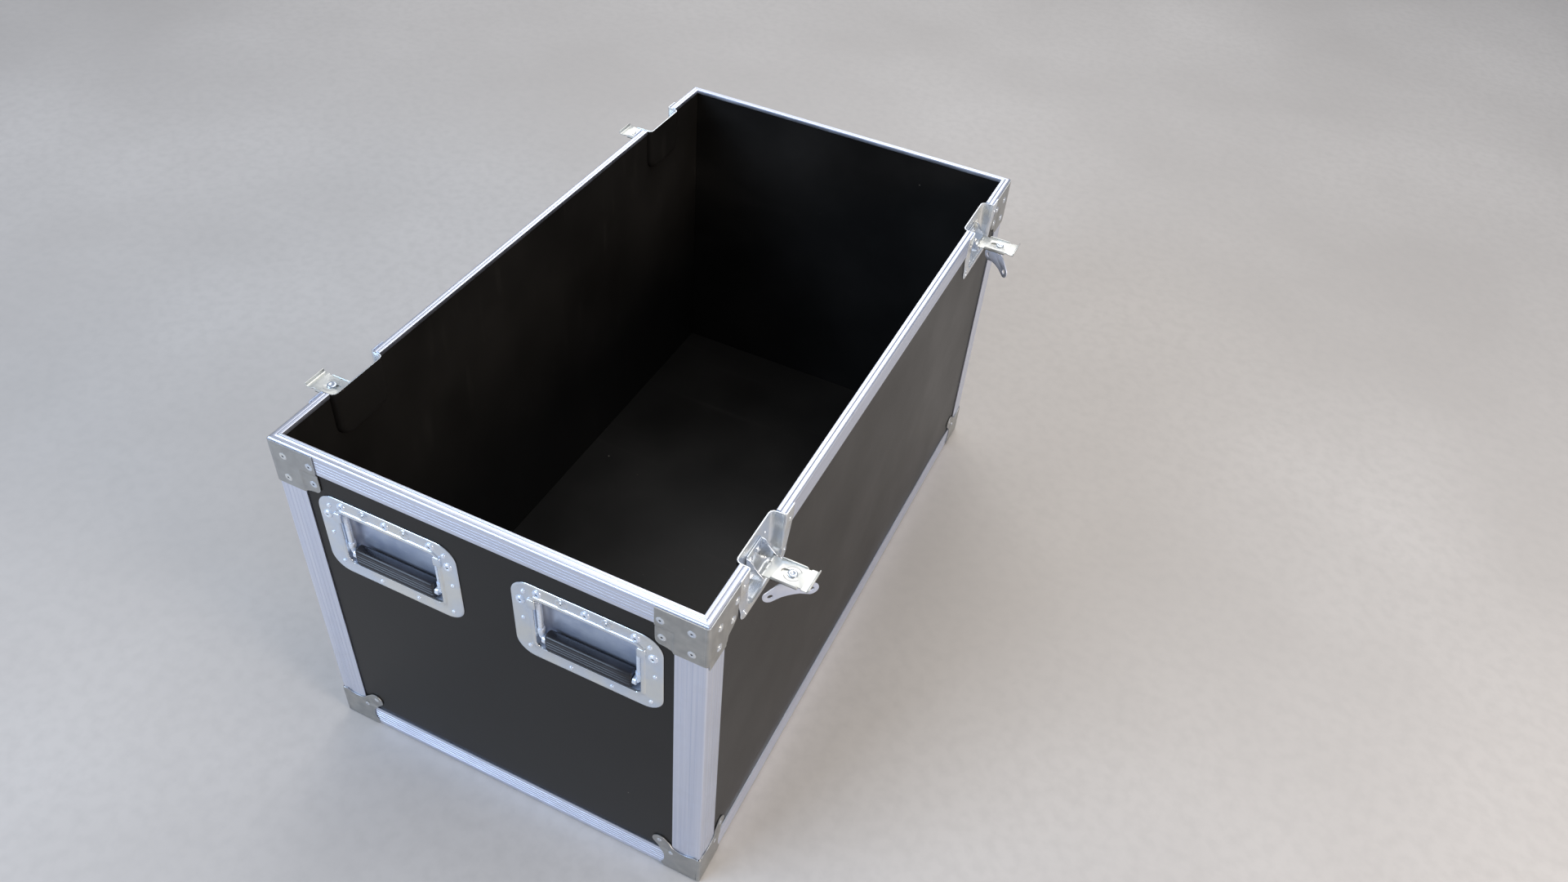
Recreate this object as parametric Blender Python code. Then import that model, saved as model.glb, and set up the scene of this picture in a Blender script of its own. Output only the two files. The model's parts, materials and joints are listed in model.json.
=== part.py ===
"""Open base of a trunk style equipment case: laminated panels held in aluminium edging, with pressed
corner pieces, two sprung recessed handles and four recessed butterfly latches on hinged arms.

Metres, +Z up. X runs across the case, Y runs from the front to the back. The origin is on the ground
under the middle of the case.
"""
import math

import bmesh
import bpy
from mathutils import Vector

# ---- driving dimensions -------------------------------------------------------------------------
CASE_W = 0.4674            # across the edging, left to right
CASE_D = 0.8342            # across the edging, front to back
CASE_H = 0.4400            # from the underside of the bottom edging to the top of the rim
GAP = 0.0003               # clearance kept between touching pieces
SKIN = 0.0012              # wall of the aluminium edging
PLY = 0.0070               # panel thickness
EDGE_LEG = 0.0325          # leg of the corner posts and bottom edging
POST_ROUND = 0.0020        # outer arris radius of posts and bottom edging

RIM_LEG = 0.0260           # outer leg of the rim edging
RIM_INNER_LEG = 0.0050     # inner leg of the rim edging
RIM_INNER_SKIN = 0.0010
RIM_ROUND = 0.0024         # outer top edge of the rim
RIM_STEP = 0.0010          # the inner tongue stands this much above the outer shoulder
RIM_SHOULDER = 0.0056      # width of the outer shoulder
RIM_CHAMFER = 0.0008

CAP_SKIN = 0.0015          # pressed bottom corners
CAP_REACH = 0.0460         # along each edge of the case
CAP_LOBE = 0.0090          # radius of the riveted lobe
CAP_SCALLOP = 0.0180       # radius of the scallop beside the lobe
CAP_SCALLOP_FAR = 0.0580   # scallop centre along one edge
CAP_SCALLOP_NEAR = 0.0240  # and up from the other
BRACE_SKIN = 0.0012        # pressed top corners
BRACE_LEG = 0.0535
BRACE_DROP = 0.0520
BRACE_TOP = 0.0030         # the brace stops this far under the rim's top
BRACE_ROUND = 0.0120

HANDLE_X = 0.1101          # handle centre from the middle of the front panel
HANDLE_Z = 0.3380          # handle centre height
FLANGE_W = 0.1600
FLANGE_H = 0.1060
FLANGE_ROUND = 0.0210
PRESSED = 0.0012           # sheet of the pressed dishes
PAN_W = 0.1150             # recess of the handle dish, inside
PAN_TOP = 0.0340           # recess top, above the handle centre
PAN_BOTTOM = 0.0360        # recess bottom, below the handle centre
PAN_DEPTH = 0.0150
PAN_ROUND = 0.0060
BAIL_PIVOT_Z = 0.0270      # hinge axis above the handle centre
BAIL_PIVOT_Y = 0.0044      # hinge axis behind the flange face
BAIL_ROD = 0.0030          # radius of the bail's rod
BAIL_BEND = 0.0060         # centreline radius of its lower bends
PIVOT_BEND = 0.0034        # and of the bends beside the hinge
BAIL_HALF = 0.0530         # from the middle to each arm
BAIL_DROP = 0.0510         # from the hinge axis to the middle of the grip
GRIP_HALF = 0.0465
GRIP_TALL = 0.0220
GRIP_THICK = 0.0120
GRIP_ROUND = 0.0048

LATCH_Y = 0.3060           # latch centre from the middle of the long side
LATCH_FLANGE = 0.0545      # half width of the dish flange
LATCH_DROP = 0.0715        # from the rim's top to the bottom of the dish flange
LATCH_LOBE = 0.0100        # radius of the flange's lower lobes
LATCH_LOBE_Y = 0.0375      # lobe centres from the latch's middle
LATCH_SHOULDER = 0.0320    # from the rim's top down to where the flange starts to narrow
BOWL_HALF = 0.0370         # half width of the bowl, outside
BOWL_DROP = 0.0600         # from the rim's top to the bottom of the bowl
BOWL_DEPTH = 0.0138        # inside
BOWL_ROUND = 0.0160        # radius of the bowl's lower corners, outside
BRACKET_HALF = 0.0158      # hinge bracket, half width
BRACKET_TOP = 0.0160       # from the rim's top to the bracket's top
BRACKET_FOOT = 0.0060      # the bracket's back plate ends this far under the hinge
HINGE_DROP = 0.0360        # from the rim's top to the hinge axis
HINGE_OUT = 0.0026         # hinge axis outside the edging's face
PIN_R = 0.0014
BARREL_R = 0.0030
ARM_HALF = 0.0136
ARM_LENGTH = 0.0345
ARM_SKIN = 0.0012
ARM_FLANGE = 0.0040
ARM_FLANGE_START = 0.0065  # the arm's side flanges start this far from the hinge
HOOK_START = 0.0085
HOOK_LENGTH = 0.0465       # hinge axis to the tip of the hook
HOOK_HEAD = 0.0090         # length of the wide end
HOOK_LIP = 0.0060
SLIDE_OUT = 0.0080         # the hook plate's travel outwards
SLIDE_IN = 0.0015          # and inwards
SPINDLE_OUT = 0.0242       # spindle from the hinge axis
SPINDLE_R = 0.0030
SPINDLE_HEAD = 0.0048
CAM_R = 0.0080
CAM_THICK = 0.0016
WING_TURN = 43.0           # degrees that the wing is turned at rest
WING_PIVOT_DROP = 0.0050   # from the arm's floor to the wing's hinge
WING_REACH = 0.0212        # from the spindle to each lobe's centre
WING_LOBE = 0.0062
WING_LOBE_DROP = 0.0195    # from the wing's hinge to the lobes' centres
WING_SKIN = 0.0015
WING_HOLE = 0.0022
WING_NOTCH = 0.0040        # half width of the notch round the spindle
WING_TOP = 0.0085          # half width of the wing at its hinge
WING_PIN_R = 0.0010
KNUCKLE_R = 0.0024

ARC_STEPS = 6              # segments in a quarter turn of a large round
FINE_STEPS = 3             # segments in a quarter turn of a small round

BASE_Z = CAP_SKIN + GAP                      # underside of the bottom edging
TOP_Z = BASE_Z + CASE_H                      # top of the rim
HALF_W = CASE_W / 2
HALF_D = CASE_D / 2
PANEL_IN = SKIN + GAP                        # panel face behind the edging's face
WALL = PANEL_IN + PLY                        # inner face of a panel
RIM_T = WALL + GAP + RIM_INNER_SKIN          # width of the rim
PANEL_BOTTOM = BASE_Z + SKIN + GAP
PANEL_TOP = TOP_Z - RIM_STEP - SKIN - GAP


# ---- small helpers ------------------------------------------------------------------------------
def clear_scene():
    for obj in list(bpy.data.objects):
        bpy.data.objects.remove(obj, do_unlink=True)


def material(name, colour, roughness, metallic):
    mat = bpy.data.materials.new(name)
    mat.use_nodes = True
    shader = mat.node_tree.nodes["Principled BSDF"]
    shader.inputs["Base Color"].default_value = (*colour, 1.0)
    shader.inputs["Roughness"].default_value = roughness
    shader.inputs["Metallic"].default_value = metallic
    return mat


def arc(cx, cy, radius, start, end, steps):
    """Points on an arc, angles in degrees, both ends included."""
    angles = [math.radians(start + (end - start) * i / steps) for i in range(steps + 1)]
    return [(cx + radius * math.cos(a), cy + radius * math.sin(a)) for a in angles]


def rounded_rect(x0, y0, x1, y1, radius, steps=ARC_STEPS):
    return (arc(x1 - radius, y0 + radius, radius, -90, 0, steps)
            + arc(x1 - radius, y1 - radius, radius, 0, 90, steps)
            + arc(x0 + radius, y1 - radius, radius, 90, 180, steps)
            + arc(x0 + radius, y0 + radius, radius, 180, 270, steps))


def rect(x0, y0, x1, y1):
    return [(x0, y0), (x1, y0), (x1, y1), (x0, y1)]


PLANES = {
    "xy": lambda a, b, c: (a, b, c),
    "xz": lambda a, b, c: (a, c, b),
    "yz": lambda a, b, c: (c, a, b),
}


def prism(outline, low, high, plane="xy", holes=()):
    """A solid with one flat outline and any holes, from low to high along the third axis."""
    place = PLANES[plane]
    bm = bmesh.new()
    for loop in (outline, *holes):
        verts = [bm.verts.new(place(a, b, low)) for a, b in loop]
        for first, second in zip(verts, verts[1:] + verts[:1]):
            bm.edges.new((first, second))
    bmesh.ops.triangle_fill(bm, use_beauty=True, use_dissolve=False, edges=bm.edges[:])
    lifted = bmesh.ops.extrude_face_region(bm, geom=bm.faces[:])["geom"]
    shift = Vector(place(0, 0, high - low))
    bmesh.ops.translate(bm, vec=shift, verts=[v for v in lifted if isinstance(v, bmesh.types.BMVert)])
    bmesh.ops.recalc_face_normals(bm, faces=bm.faces[:])
    return bm


def block(low, high):
    return prism(rect(low[0], low[1], high[0], high[1]), low[2], high[2])


def rod(radius, low, high, plane="xy", centre=(0.0, 0.0), steps=ARC_STEPS):
    """A round bar along the plane's third axis."""
    ring = arc(centre[0], centre[1], radius, 0, 360, steps * 4)[:-1]
    return prism(ring, low, high, plane)


def bowl_outline(grow, top):
    """The U of a latch bowl, grown by a margin, from its right top corner round to its left one."""
    half, low, radius = BOWL_HALF + grow, -BOWL_DROP - grow, BOWL_ROUND + grow
    return ([(half, top)] + arc(half - radius, low + radius, radius, 0, -90, ARC_STEPS)
            + arc(radius - half, low + radius, radius, -90, -180, ARC_STEPS) + [(-half, top)])


def sweep(path, radius, steps=ARC_STEPS):
    """A round bar along a flat path in the XZ plane, mitred at each point."""
    rings = []
    for i, (x, z) in enumerate(path):
        before, after = path[max(i - 1, 0)], path[min(i + 1, len(path) - 1)]
        first = Vector((x - before[0], z - before[1]))
        second = Vector((after[0] - x, after[1] - z))
        along = (first.normalized() + second.normalized()).normalized()
        run = second.normalized() if second.length else first.normalized()
        across = Vector((-along.y, along.x)) / max(along.dot(run), 0.5)
        rings.append([(x + across.x * a, b, z + across.y * a)
                      for a, b in arc(0, 0, radius, 0, 360, steps * 2)[:-1]])
    return rings_to_solid(rings)


def rings_to_solid(rings):
    """A solid skinned over matching closed rings, with both ends capped."""
    bm = bmesh.new()
    made = [[bm.verts.new(point) for point in ring] for ring in rings]
    count = len(made[0])
    for lower, upper in zip(made, made[1:]):
        for i in range(count):
            bm.faces.new((lower[i], lower[(i + 1) % count], upper[(i + 1) % count], upper[i]))
    bm.faces.new(made[0])
    bm.faces.new(made[-1])
    bmesh.ops.triangulate(bm, faces=bm.faces[:])
    bmesh.ops.recalc_face_normals(bm, faces=bm.faces[:])
    return bm


def to_object(name, bm, mat, smooth=False):
    mesh = bpy.data.meshes.new(name)
    bm.to_mesh(mesh)
    bm.free()
    mesh.materials.append(mat)
    if smooth:
        mesh.shade_smooth()
        mesh.set_sharp_from_angle(angle=math.radians(35))
    obj = bpy.data.objects.new(name, mesh)
    bpy.context.scene.collection.objects.link(obj)
    return obj


def combine(obj, bm, operation):
    """Unites or subtracts another solid, and leaves the result as plain mesh on the object."""
    tool = to_object("tool", bm, obj.data.materials[0])
    modifier = obj.modifiers.new("join", "BOOLEAN")
    modifier.operation = operation
    modifier.object = tool
    bpy.context.view_layer.update()
    evaluated = obj.evaluated_get(bpy.context.evaluated_depsgraph_get())
    result = bpy.data.meshes.new_from_object(evaluated)
    obj.modifiers.clear()
    obj.data = result
    bpy.data.objects.remove(tool, do_unlink=True)


def add(obj, bm):
    combine(obj, bm, "UNION")


def cut(obj, bm):
    combine(obj, bm, "DIFFERENCE")


def put(obj, location, turn=0.0, parent=None):
    """Places an object, turned about the vertical in degrees."""
    obj.parent = parent
    obj.location = location
    obj.rotation_euler = (0.0, 0.0, math.radians(turn))
    return obj


def station(name, location, turn=0.0):
    """An empty that carries one set of hardware."""
    empty = bpy.data.objects.new(name, None)
    bpy.context.scene.collection.objects.link(empty)
    return put(empty, location, turn)


def copy_of(obj, name):
    twin = obj.copy()
    twin.name = name
    bpy.context.scene.collection.objects.link(twin)
    return twin


# ---- panels -------------------------------------------------------------------------------------
def make_panels(laminate):
    half_end = HALF_W - WALL - GAP
    reach = PRESSED + GAP
    pan_holes = [rounded_rect(x - PAN_W / 2 - reach, HANDLE_Z - PAN_BOTTOM - reach, x + PAN_W / 2 + reach,
                              HANDLE_Z + PAN_TOP + reach, PAN_ROUND + reach, FINE_STEPS)
                 for x in (-HANDLE_X, HANDLE_X)]
    end_outline = rect(-half_end, PANEL_BOTTOM, half_end, PANEL_TOP)
    for name, side, holes in (("front_panel", -1, pan_holes), ("back_panel", 1, ())):
        near, far = side * (HALF_D - PANEL_IN), side * (HALF_D - WALL)
        to_object(name, prism(end_outline, min(near, far), max(near, far), "xz", holes), laminate)

    half_side = HALF_D - PANEL_IN
    side_outline = [(-half_side, PANEL_BOTTOM), (half_side, PANEL_BOTTOM), (half_side, PANEL_TOP)]
    for centre in (LATCH_Y, -LATCH_Y):
        notch = bowl_outline(GAP, PANEL_TOP - TOP_Z)
        side_outline += [(centre + y, TOP_Z + z) for y, z in notch]
    side_outline.append((-half_side, PANEL_TOP))
    for name, side in (("left_panel", -1), ("right_panel", 1)):
        near, far = side * (HALF_W - PANEL_IN), side * (HALF_W - WALL)
        to_object(name, prism(side_outline, min(near, far), max(near, far), "yz"), laminate)

    inset = WALL + GAP
    floor = block((-HALF_W + inset, -HALF_D + inset, PANEL_BOTTOM),
                  (HALF_W - inset, HALF_D - inset, PANEL_BOTTOM + PLY))
    to_object("floor_panel", floor, laminate)


# ---- aluminium edging ---------------------------------------------------------------------------
def angle_section():
    """A double angle seen along its length, with its arris at the origin and its legs along -a and -b."""
    return ([(-EDGE_LEG, 0.0), (-EDGE_LEG, -SKIN), (-SKIN, -SKIN), (-SKIN, -EDGE_LEG), (0.0, -EDGE_LEG)]
            + arc(-POST_ROUND, -POST_ROUND, POST_ROUND, 0, 90, FINE_STEPS))


def make_posts(aluminium):
    bottom = BASE_Z + EDGE_LEG + GAP
    top = TOP_Z - RIM_LEG - GAP
    first = to_object("post_back_right", prism(angle_section(), bottom, top), aluminium)
    spots = (("post_back_left", -1, 1, 90), ("post_front_left", -1, -1, 180), ("post_front_right", 1, -1, 270))
    for name, sx, sy, turn in spots:
        put(copy_of(first, name), (sx * HALF_W, sy * HALF_D, 0.0), turn)
    put(first, (HALF_W, HALF_D, 0.0))


def make_bottom_edging(aluminium):
    """Each length has one leg on the wall and one under the floor, and stops short of the corners."""
    section = [(a, -b) for a, b in angle_section()]
    half_end = HALF_W - EDGE_LEG - GAP
    half_side = HALF_D - EDGE_LEG - GAP
    spots = (("bottom_edge_front", half_end, (0.0, -HALF_D), 180),
             ("bottom_edge_back", half_end, (0.0, HALF_D), 0),
             ("bottom_edge_left", half_side, (-HALF_W, 0.0), 90),
             ("bottom_edge_right", half_side, (HALF_W, 0.0), 270))
    for name, half, (x, y), turn in spots:
        put(to_object(name, prism(section, -half, half, "yz"), aluminium), (x, y, BASE_Z), turn)


def rim_section():
    """Rim edging as (distance in from the outer face, height)."""
    shoulder_z = TOP_Z - RIM_STEP
    web_z = shoulder_z - SKIN
    outer = [(0.0, TOP_Z - RIM_LEG)]
    corner = arc(0, 0, RIM_ROUND, 0, 90, FINE_STEPS)
    outer += [(RIM_ROUND - a, shoulder_z - RIM_ROUND + b) for a, b in corner]
    top = [(RIM_SHOULDER, shoulder_z), (RIM_SHOULDER + RIM_STEP / 2, TOP_Z), (RIM_T - RIM_CHAMFER, TOP_Z),
           (RIM_T, TOP_Z - RIM_CHAMFER)]
    inner = [(RIM_T, TOP_Z - RIM_INNER_LEG), (RIM_T - RIM_INNER_SKIN, TOP_Z - RIM_INNER_LEG),
             (RIM_T - RIM_INNER_SKIN, web_z), (SKIN, web_z), (SKIN, TOP_Z - RIM_LEG)]
    return outer + top + inner


def make_rim(aluminium):
    section = rim_section()
    stub = LATCH_Y + BOWL_HALF + GAP
    end_rings = [
        [(HALF_W - i, -stub, z) for i, z in section],
        [(HALF_W - i, -HALF_D + i, z) for i, z in section],
        [(-HALF_W + i, -HALF_D + i, z) for i, z in section],
        [(-HALF_W + i, -stub, z) for i, z in section],
    ]
    front = to_object("rim_front", rings_to_solid(end_rings), aluminium)
    put(copy_of(front, "rim_back"), (0.0, 0.0, 0.0), 180)
    long_half = LATCH_Y - BOWL_HALF - GAP
    long_rings = [[(HALF_W - i, y, z) for i, z in section] for y in (-long_half, long_half)]
    right = to_object("rim_right", rings_to_solid(long_rings), aluminium)
    put(copy_of(right, "rim_left"), (0.0, 0.0, 0.0), 180)


# ---- pressed corners ----------------------------------------------------------------------------
def cap_face_outline():
    """One face of a bottom corner, measured from the case's corner along its two edges."""
    first = arc(CAP_SCALLOP_FAR, CAP_SCALLOP_NEAR, CAP_SCALLOP, 228, 122, ARC_STEPS)
    round_end = arc(CAP_REACH, CAP_REACH, CAP_LOBE, -38, 128, ARC_STEPS)
    second = [(b, a) for a, b in reversed(first)]
    return [(CAP_REACH, 0.0)] + first + round_end + second + [(0.0, CAP_REACH)]


def make_caps(zinc):
    """Three pressed faces that meet at the bottom corner of the case, modelled for the back right corner."""
    outline = cap_face_outline()
    lo, hi = GAP, GAP + CAP_SKIN
    face = [(-a, b) for a, b in outline]
    side_face = face + [(hi, CAP_REACH), (hi, -hi), (-CAP_REACH, -hi)]
    cap = to_object("cap_back_right", prism(side_face, lo, hi, "yz"), zinc)
    back = prism(side_face, lo, hi, "xz")
    add(cap, back)
    floor_outline = [(-a, -b) for a, b in outline]
    floor = floor_outline + [(hi, -CAP_REACH), (hi, hi), (-CAP_REACH, hi)]
    add(cap, prism(floor, -hi, -lo, "xy"))
    spots = (("cap_back_left", -1, 1, 90), ("cap_front_left", -1, -1, 180), ("cap_front_right", 1, -1, 270))
    for name, sx, sy, turn in spots:
        put(copy_of(cap, name), (sx * HALF_W, sy * HALF_D, BASE_Z), turn)
    put(cap, (HALF_W, HALF_D, BASE_Z))


def make_braces(zinc):
    """A two faced brace over the joint of rim and post, modelled for the back right corner."""
    lo, hi = GAP, GAP + BRACE_SKIN
    top = TOP_Z - BRACE_TOP
    bottom = top - BRACE_DROP
    plate = ([(hi, bottom)] + [(hi, top), (-BRACE_LEG, top)]
             + arc(-BRACE_LEG + BRACE_ROUND, bottom + BRACE_ROUND, BRACE_ROUND, 180, 270, FINE_STEPS))
    brace = to_object("brace_back_right", prism(plate, lo, hi, "yz"), zinc)
    add(brace, prism(plate, lo, hi, "xz"))
    spots = (("brace_back_left", -1, 1, 90), ("brace_front_left", -1, -1, 180),
             ("brace_front_right", 1, -1, 270))
    for name, sx, sy, turn in spots:
        put(copy_of(brace, name), (sx * HALF_W, sy * HALF_D, 0.0), turn)
    put(brace, (HALF_W, HALF_D, 0.0))


# ---- recessed handles ---------------------------------------------------------------------------
def make_handle_dish(name, zinc):
    """Pressed dish: flange, pan and pivot holes. Y runs into the case from the edging's face."""
    flange = rounded_rect(-FLANGE_W / 2, -FLANGE_H / 2, FLANGE_W / 2, FLANGE_H / 2, FLANGE_ROUND)
    dish = to_object(name, prism(flange, 0.0, PRESSED, "xz"), zinc)
    half = PAN_W / 2
    shell = rounded_rect(-half - PRESSED, -PAN_BOTTOM - PRESSED, half + PRESSED, PAN_TOP + PRESSED,
                         PAN_ROUND + PRESSED, FINE_STEPS)
    add(dish, prism(shell, PRESSED / 2, PAN_DEPTH + PRESSED, "xz"))
    hollow = rounded_rect(-half, -PAN_BOTTOM, half, PAN_TOP, PAN_ROUND, FINE_STEPS)
    cut(dish, prism(hollow, -PRESSED, PAN_DEPTH, "xz"))
    through = half + 2 * PRESSED
    cut(dish, rod(BAIL_ROD + GAP, -through, through, "yz", (BAIL_PIVOT_Y, BAIL_PIVOT_Z)))
    return dish


def make_bail(name, steel):
    """Rod bent into two pivot ends, two arms and a cross bar. Its origin is on the hinge axis."""
    end = PAN_W / 2 + PRESSED / 2
    right = ([(end, 0.0)] + arc(BAIL_HALF + PIVOT_BEND, -PIVOT_BEND, PIVOT_BEND, 90, 180, FINE_STEPS)
             + arc(BAIL_HALF - BAIL_BEND, BAIL_BEND - BAIL_DROP, BAIL_BEND, 0, -90, FINE_STEPS))
    path = right + [(-x, z) for x, z in reversed(right)]
    return to_object(name, sweep(path, BAIL_ROD), steel, smooth=True)


def make_grip(name, rubber):
    """Thick grip round the bail's cross bar, in the bail's own frame."""
    low = -BAIL_DROP - GRIP_TALL / 2
    outline = rounded_rect(-GRIP_THICK / 2, low, GRIP_THICK / 2, low + GRIP_TALL, GRIP_ROUND, FINE_STEPS)
    bore = arc(0.0, -BAIL_DROP, BAIL_ROD + GAP, 0, 360, ARC_STEPS * 4)[:-1]
    return to_object(name, prism(outline, -GRIP_HALF, GRIP_HALF, "yz", [bore]), rubber)


def make_handles(zinc, steel, rubber):
    pivot = (0.0, BAIL_PIVOT_Y, BAIL_PIVOT_Z)
    for label, x in (("left", -HANDLE_X), ("right", HANDLE_X)):
        empty = station(f"handle_{label}_station", (x, -HALF_D, HANDLE_Z))
        put(make_handle_dish(f"handle_{label}_dish", zinc), (0.0, 0.0, 0.0), parent=empty)
        put(make_bail(f"handle_{label}_bail", steel), pivot, parent=empty)
        put(make_grip(f"handle_{label}_grip", rubber), pivot, parent=empty)


# ---- butterfly latches --------------------------------------------------------------------------
def latch_flange_outline():
    lobe_z = LATCH_LOBE - LATCH_DROP
    right = ([(LATCH_FLANGE, -RIM_STEP), (LATCH_FLANGE, -LATCH_SHOULDER)]
             + arc(LATCH_LOBE_Y, lobe_z, LATCH_LOBE, 15, -90, ARC_STEPS))
    return right + [(-y, z) for y, z in reversed(right)]


def make_latch_dish(name, zinc):
    """Lower half of a split dish. X points out of the case from the edging's face, and the origin is
    level with the rim's top."""
    flange = latch_flange_outline()
    dish = to_object(name, prism(flange, GAP, GAP + PRESSED, "yz"), zinc)
    seat_top = -RIM_LEG - GAP
    seat = [(y, seat_top if z > -LATCH_SHOULDER else z) for y, z in flange]
    add(dish, prism(seat, GAP - PANEL_IN, GAP + PRESSED / 2, "yz"))
    shell = bowl_outline(0.0, -RIM_STEP)
    add(dish, prism(shell, -BOWL_DEPTH - PRESSED, GAP + PRESSED / 2, "yz"))
    cut(dish, prism(bowl_outline(-PRESSED, PRESSED), -BOWL_DEPTH, BOWL_DEPTH, "yz"))
    return dish


def make_bracket(name, zinc):
    """Back plate, two cheeks and the hinge pin, riveted into the bowl. Same frame as the dish."""
    back = GAP - BOWL_DEPTH
    foot = -HINGE_DROP - BRACKET_FOOT
    plate = block((back, -BRACKET_HALF, foot), (back + PRESSED, BRACKET_HALF, -BRACKET_TOP))
    bracket = to_object(name, plate, zinc)
    cheek = [(back, -BRACKET_TOP), (back, foot)]
    cheek += arc(HINGE_OUT, -HINGE_DROP, BARREL_R, -90, 60, FINE_STEPS)
    for side in (-1, 1):
        faces = sorted((side * BRACKET_HALF, side * (BRACKET_HALF - PRESSED)))
        add(bracket, prism(cheek, *faces, "xz"))
    reach = BRACKET_HALF - PRESSED / 2
    add(bracket, rod(PIN_R, -reach, reach, "xz", (HINGE_OUT, -HINGE_DROP), FINE_STEPS))
    return bracket


def make_arm(name, zinc):
    """Hinged channel that carries the hook plate. Its origin is on the hinge axis, X outwards."""
    floor_low = BARREL_R - ARM_SKIN
    profile = (arc(0, 0, BARREL_R, 90, 330, ARC_STEPS * 2)
               + [(BARREL_R, floor_low), (ARM_LENGTH, floor_low), (ARM_LENGTH, BARREL_R)])
    bore = arc(0, 0, PIN_R + GAP, 0, 360, FINE_STEPS * 4)[:-1]
    arm = to_object(name, prism(profile, -ARM_HALF, ARM_HALF, "xz", [bore]), zinc)
    for side in (-1, 1):
        near, far = sorted((side * ARM_HALF, side * (ARM_HALF - ARM_SKIN)))
        add(arm, block((ARM_FLANGE_START, near, floor_low), (ARM_LENGTH, far, floor_low + ARM_FLANGE)))
    cut(arm, rod(SPINDLE_R + GAP, 0.0, BARREL_R + ARM_SKIN, "xy", (SPINDLE_OUT, 0.0)))
    return arm


def make_hook(name, zinc):
    """Sliding hook plate with its slot and its turned-up lip. Same frame as the arm."""
    low = BARREL_R + GAP
    neck = HOOK_LENGTH - HOOK_HEAD
    inner = ARM_HALF - ARM_SKIN - GAP
    outline = [(HOOK_START, -inner), (neck, -inner), (neck, -ARM_HALF), (HOOK_LENGTH, -ARM_HALF),
               (HOOK_LENGTH, ARM_HALF), (neck, ARM_HALF), (neck, inner), (HOOK_START, inner)]
    side = SPINDLE_R + GAP
    slot = (arc(SPINDLE_OUT + SLIDE_IN, 0.0, side, -90, 90, ARC_STEPS)
            + arc(SPINDLE_OUT - SLIDE_OUT, 0.0, side, 90, 270, ARC_STEPS))
    hook = to_object(name, prism(outline, low, low + ARM_SKIN, "xy", [slot]), zinc)
    add(hook, block((HOOK_LENGTH - ARM_SKIN, -ARM_HALF, low), (HOOK_LENGTH, ARM_HALF, low + HOOK_LIP)))
    return hook


def make_spindle(name, zinc):
    """Turning spindle with its head, a cam disc under the arm and the wing's hinge pin. Its origin is
    on its own axis, level with the arm's hinge."""
    head_low = BARREL_R + 2 * GAP + ARM_SKIN
    disc_top = BARREL_R - ARM_SKIN - GAP
    pivot_z = BARREL_R - ARM_SKIN - WING_PIVOT_DROP
    spindle = to_object(name, rod(SPINDLE_R, pivot_z - 2 * WING_PIN_R, head_low + ARM_SKIN / 2), zinc)
    add(spindle, rod(SPINDLE_HEAD, head_low, head_low + ARM_SKIN))
    add(spindle, rod(CAM_R, disc_top - CAM_THICK, disc_top))
    reach = WING_TOP - PRESSED
    add(spindle, rod(WING_PIN_R, -reach, reach, "yz", (0.0, pivot_z), FINE_STEPS))
    return spindle


def make_wing(name, zinc):
    """Butterfly wing in its own XZ plane. Its origin is on its hinge axis, which is its X axis."""
    half_plate = WING_SKIN / 2
    bore_half = WING_REACH / 2
    right = ([(WING_NOTCH, -WING_NOTCH - WING_SKIN / 2), (WING_NOTCH, 0.0), (WING_TOP, 0.0)]
             + arc(WING_REACH, -WING_LOBE_DROP, WING_LOBE, 60, -100, ARC_STEPS * 2))
    outline = right + [(-x, z) for x, z in reversed(right)]
    holes = [arc(side * WING_REACH, -WING_LOBE_DROP, WING_HOLE, 0, 360, FINE_STEPS * 4)[:-1]
             for side in (-1, 1)]
    wing = to_object(name, prism(outline, -half_plate, half_plate, "xz", holes), zinc)
    for side in (-1, 1):
        ends = sorted((side * WING_NOTCH, side * WING_TOP))
        add(wing, rod(KNUCKLE_R, *ends, "yz", steps=FINE_STEPS))
    cut(wing, rod(WING_PIN_R + GAP, -bore_half, bore_half, "yz", steps=FINE_STEPS))
    return wing


def make_latches(zinc):
    hinge = Vector((HINGE_OUT, 0.0, -HINGE_DROP))
    axis = hinge + Vector((SPINDLE_OUT, 0.0, 0.0))
    wing_at = axis + Vector((0.0, 0.0, BARREL_R - ARM_SKIN - WING_PIVOT_DROP))
    for side_name, side, turn in (("right", 1, 0), ("left", -1, 180)):
        for end_name, end in (("front", -1), ("back", 1)):
            label = f"latch_{side_name}_{end_name}"
            twist = -side * end * WING_TURN
            empty = station(f"{label}_station", (side * HALF_W, end * LATCH_Y, TOP_Z), turn)
            put(make_latch_dish(f"{label}_dish", zinc), (0.0, 0.0, 0.0), parent=empty)
            put(make_bracket(f"{label}_bracket", zinc), (0.0, 0.0, 0.0), parent=empty)
            put(make_arm(f"{label}_arm", zinc), hinge, parent=empty)
            put(make_hook(f"{label}_hook_plate", zinc), hinge, parent=empty)
            put(make_spindle(f"{label}_spindle", zinc), axis, twist, empty)
            put(make_wing(f"{label}_wing", zinc), wing_at, twist, empty)


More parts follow.
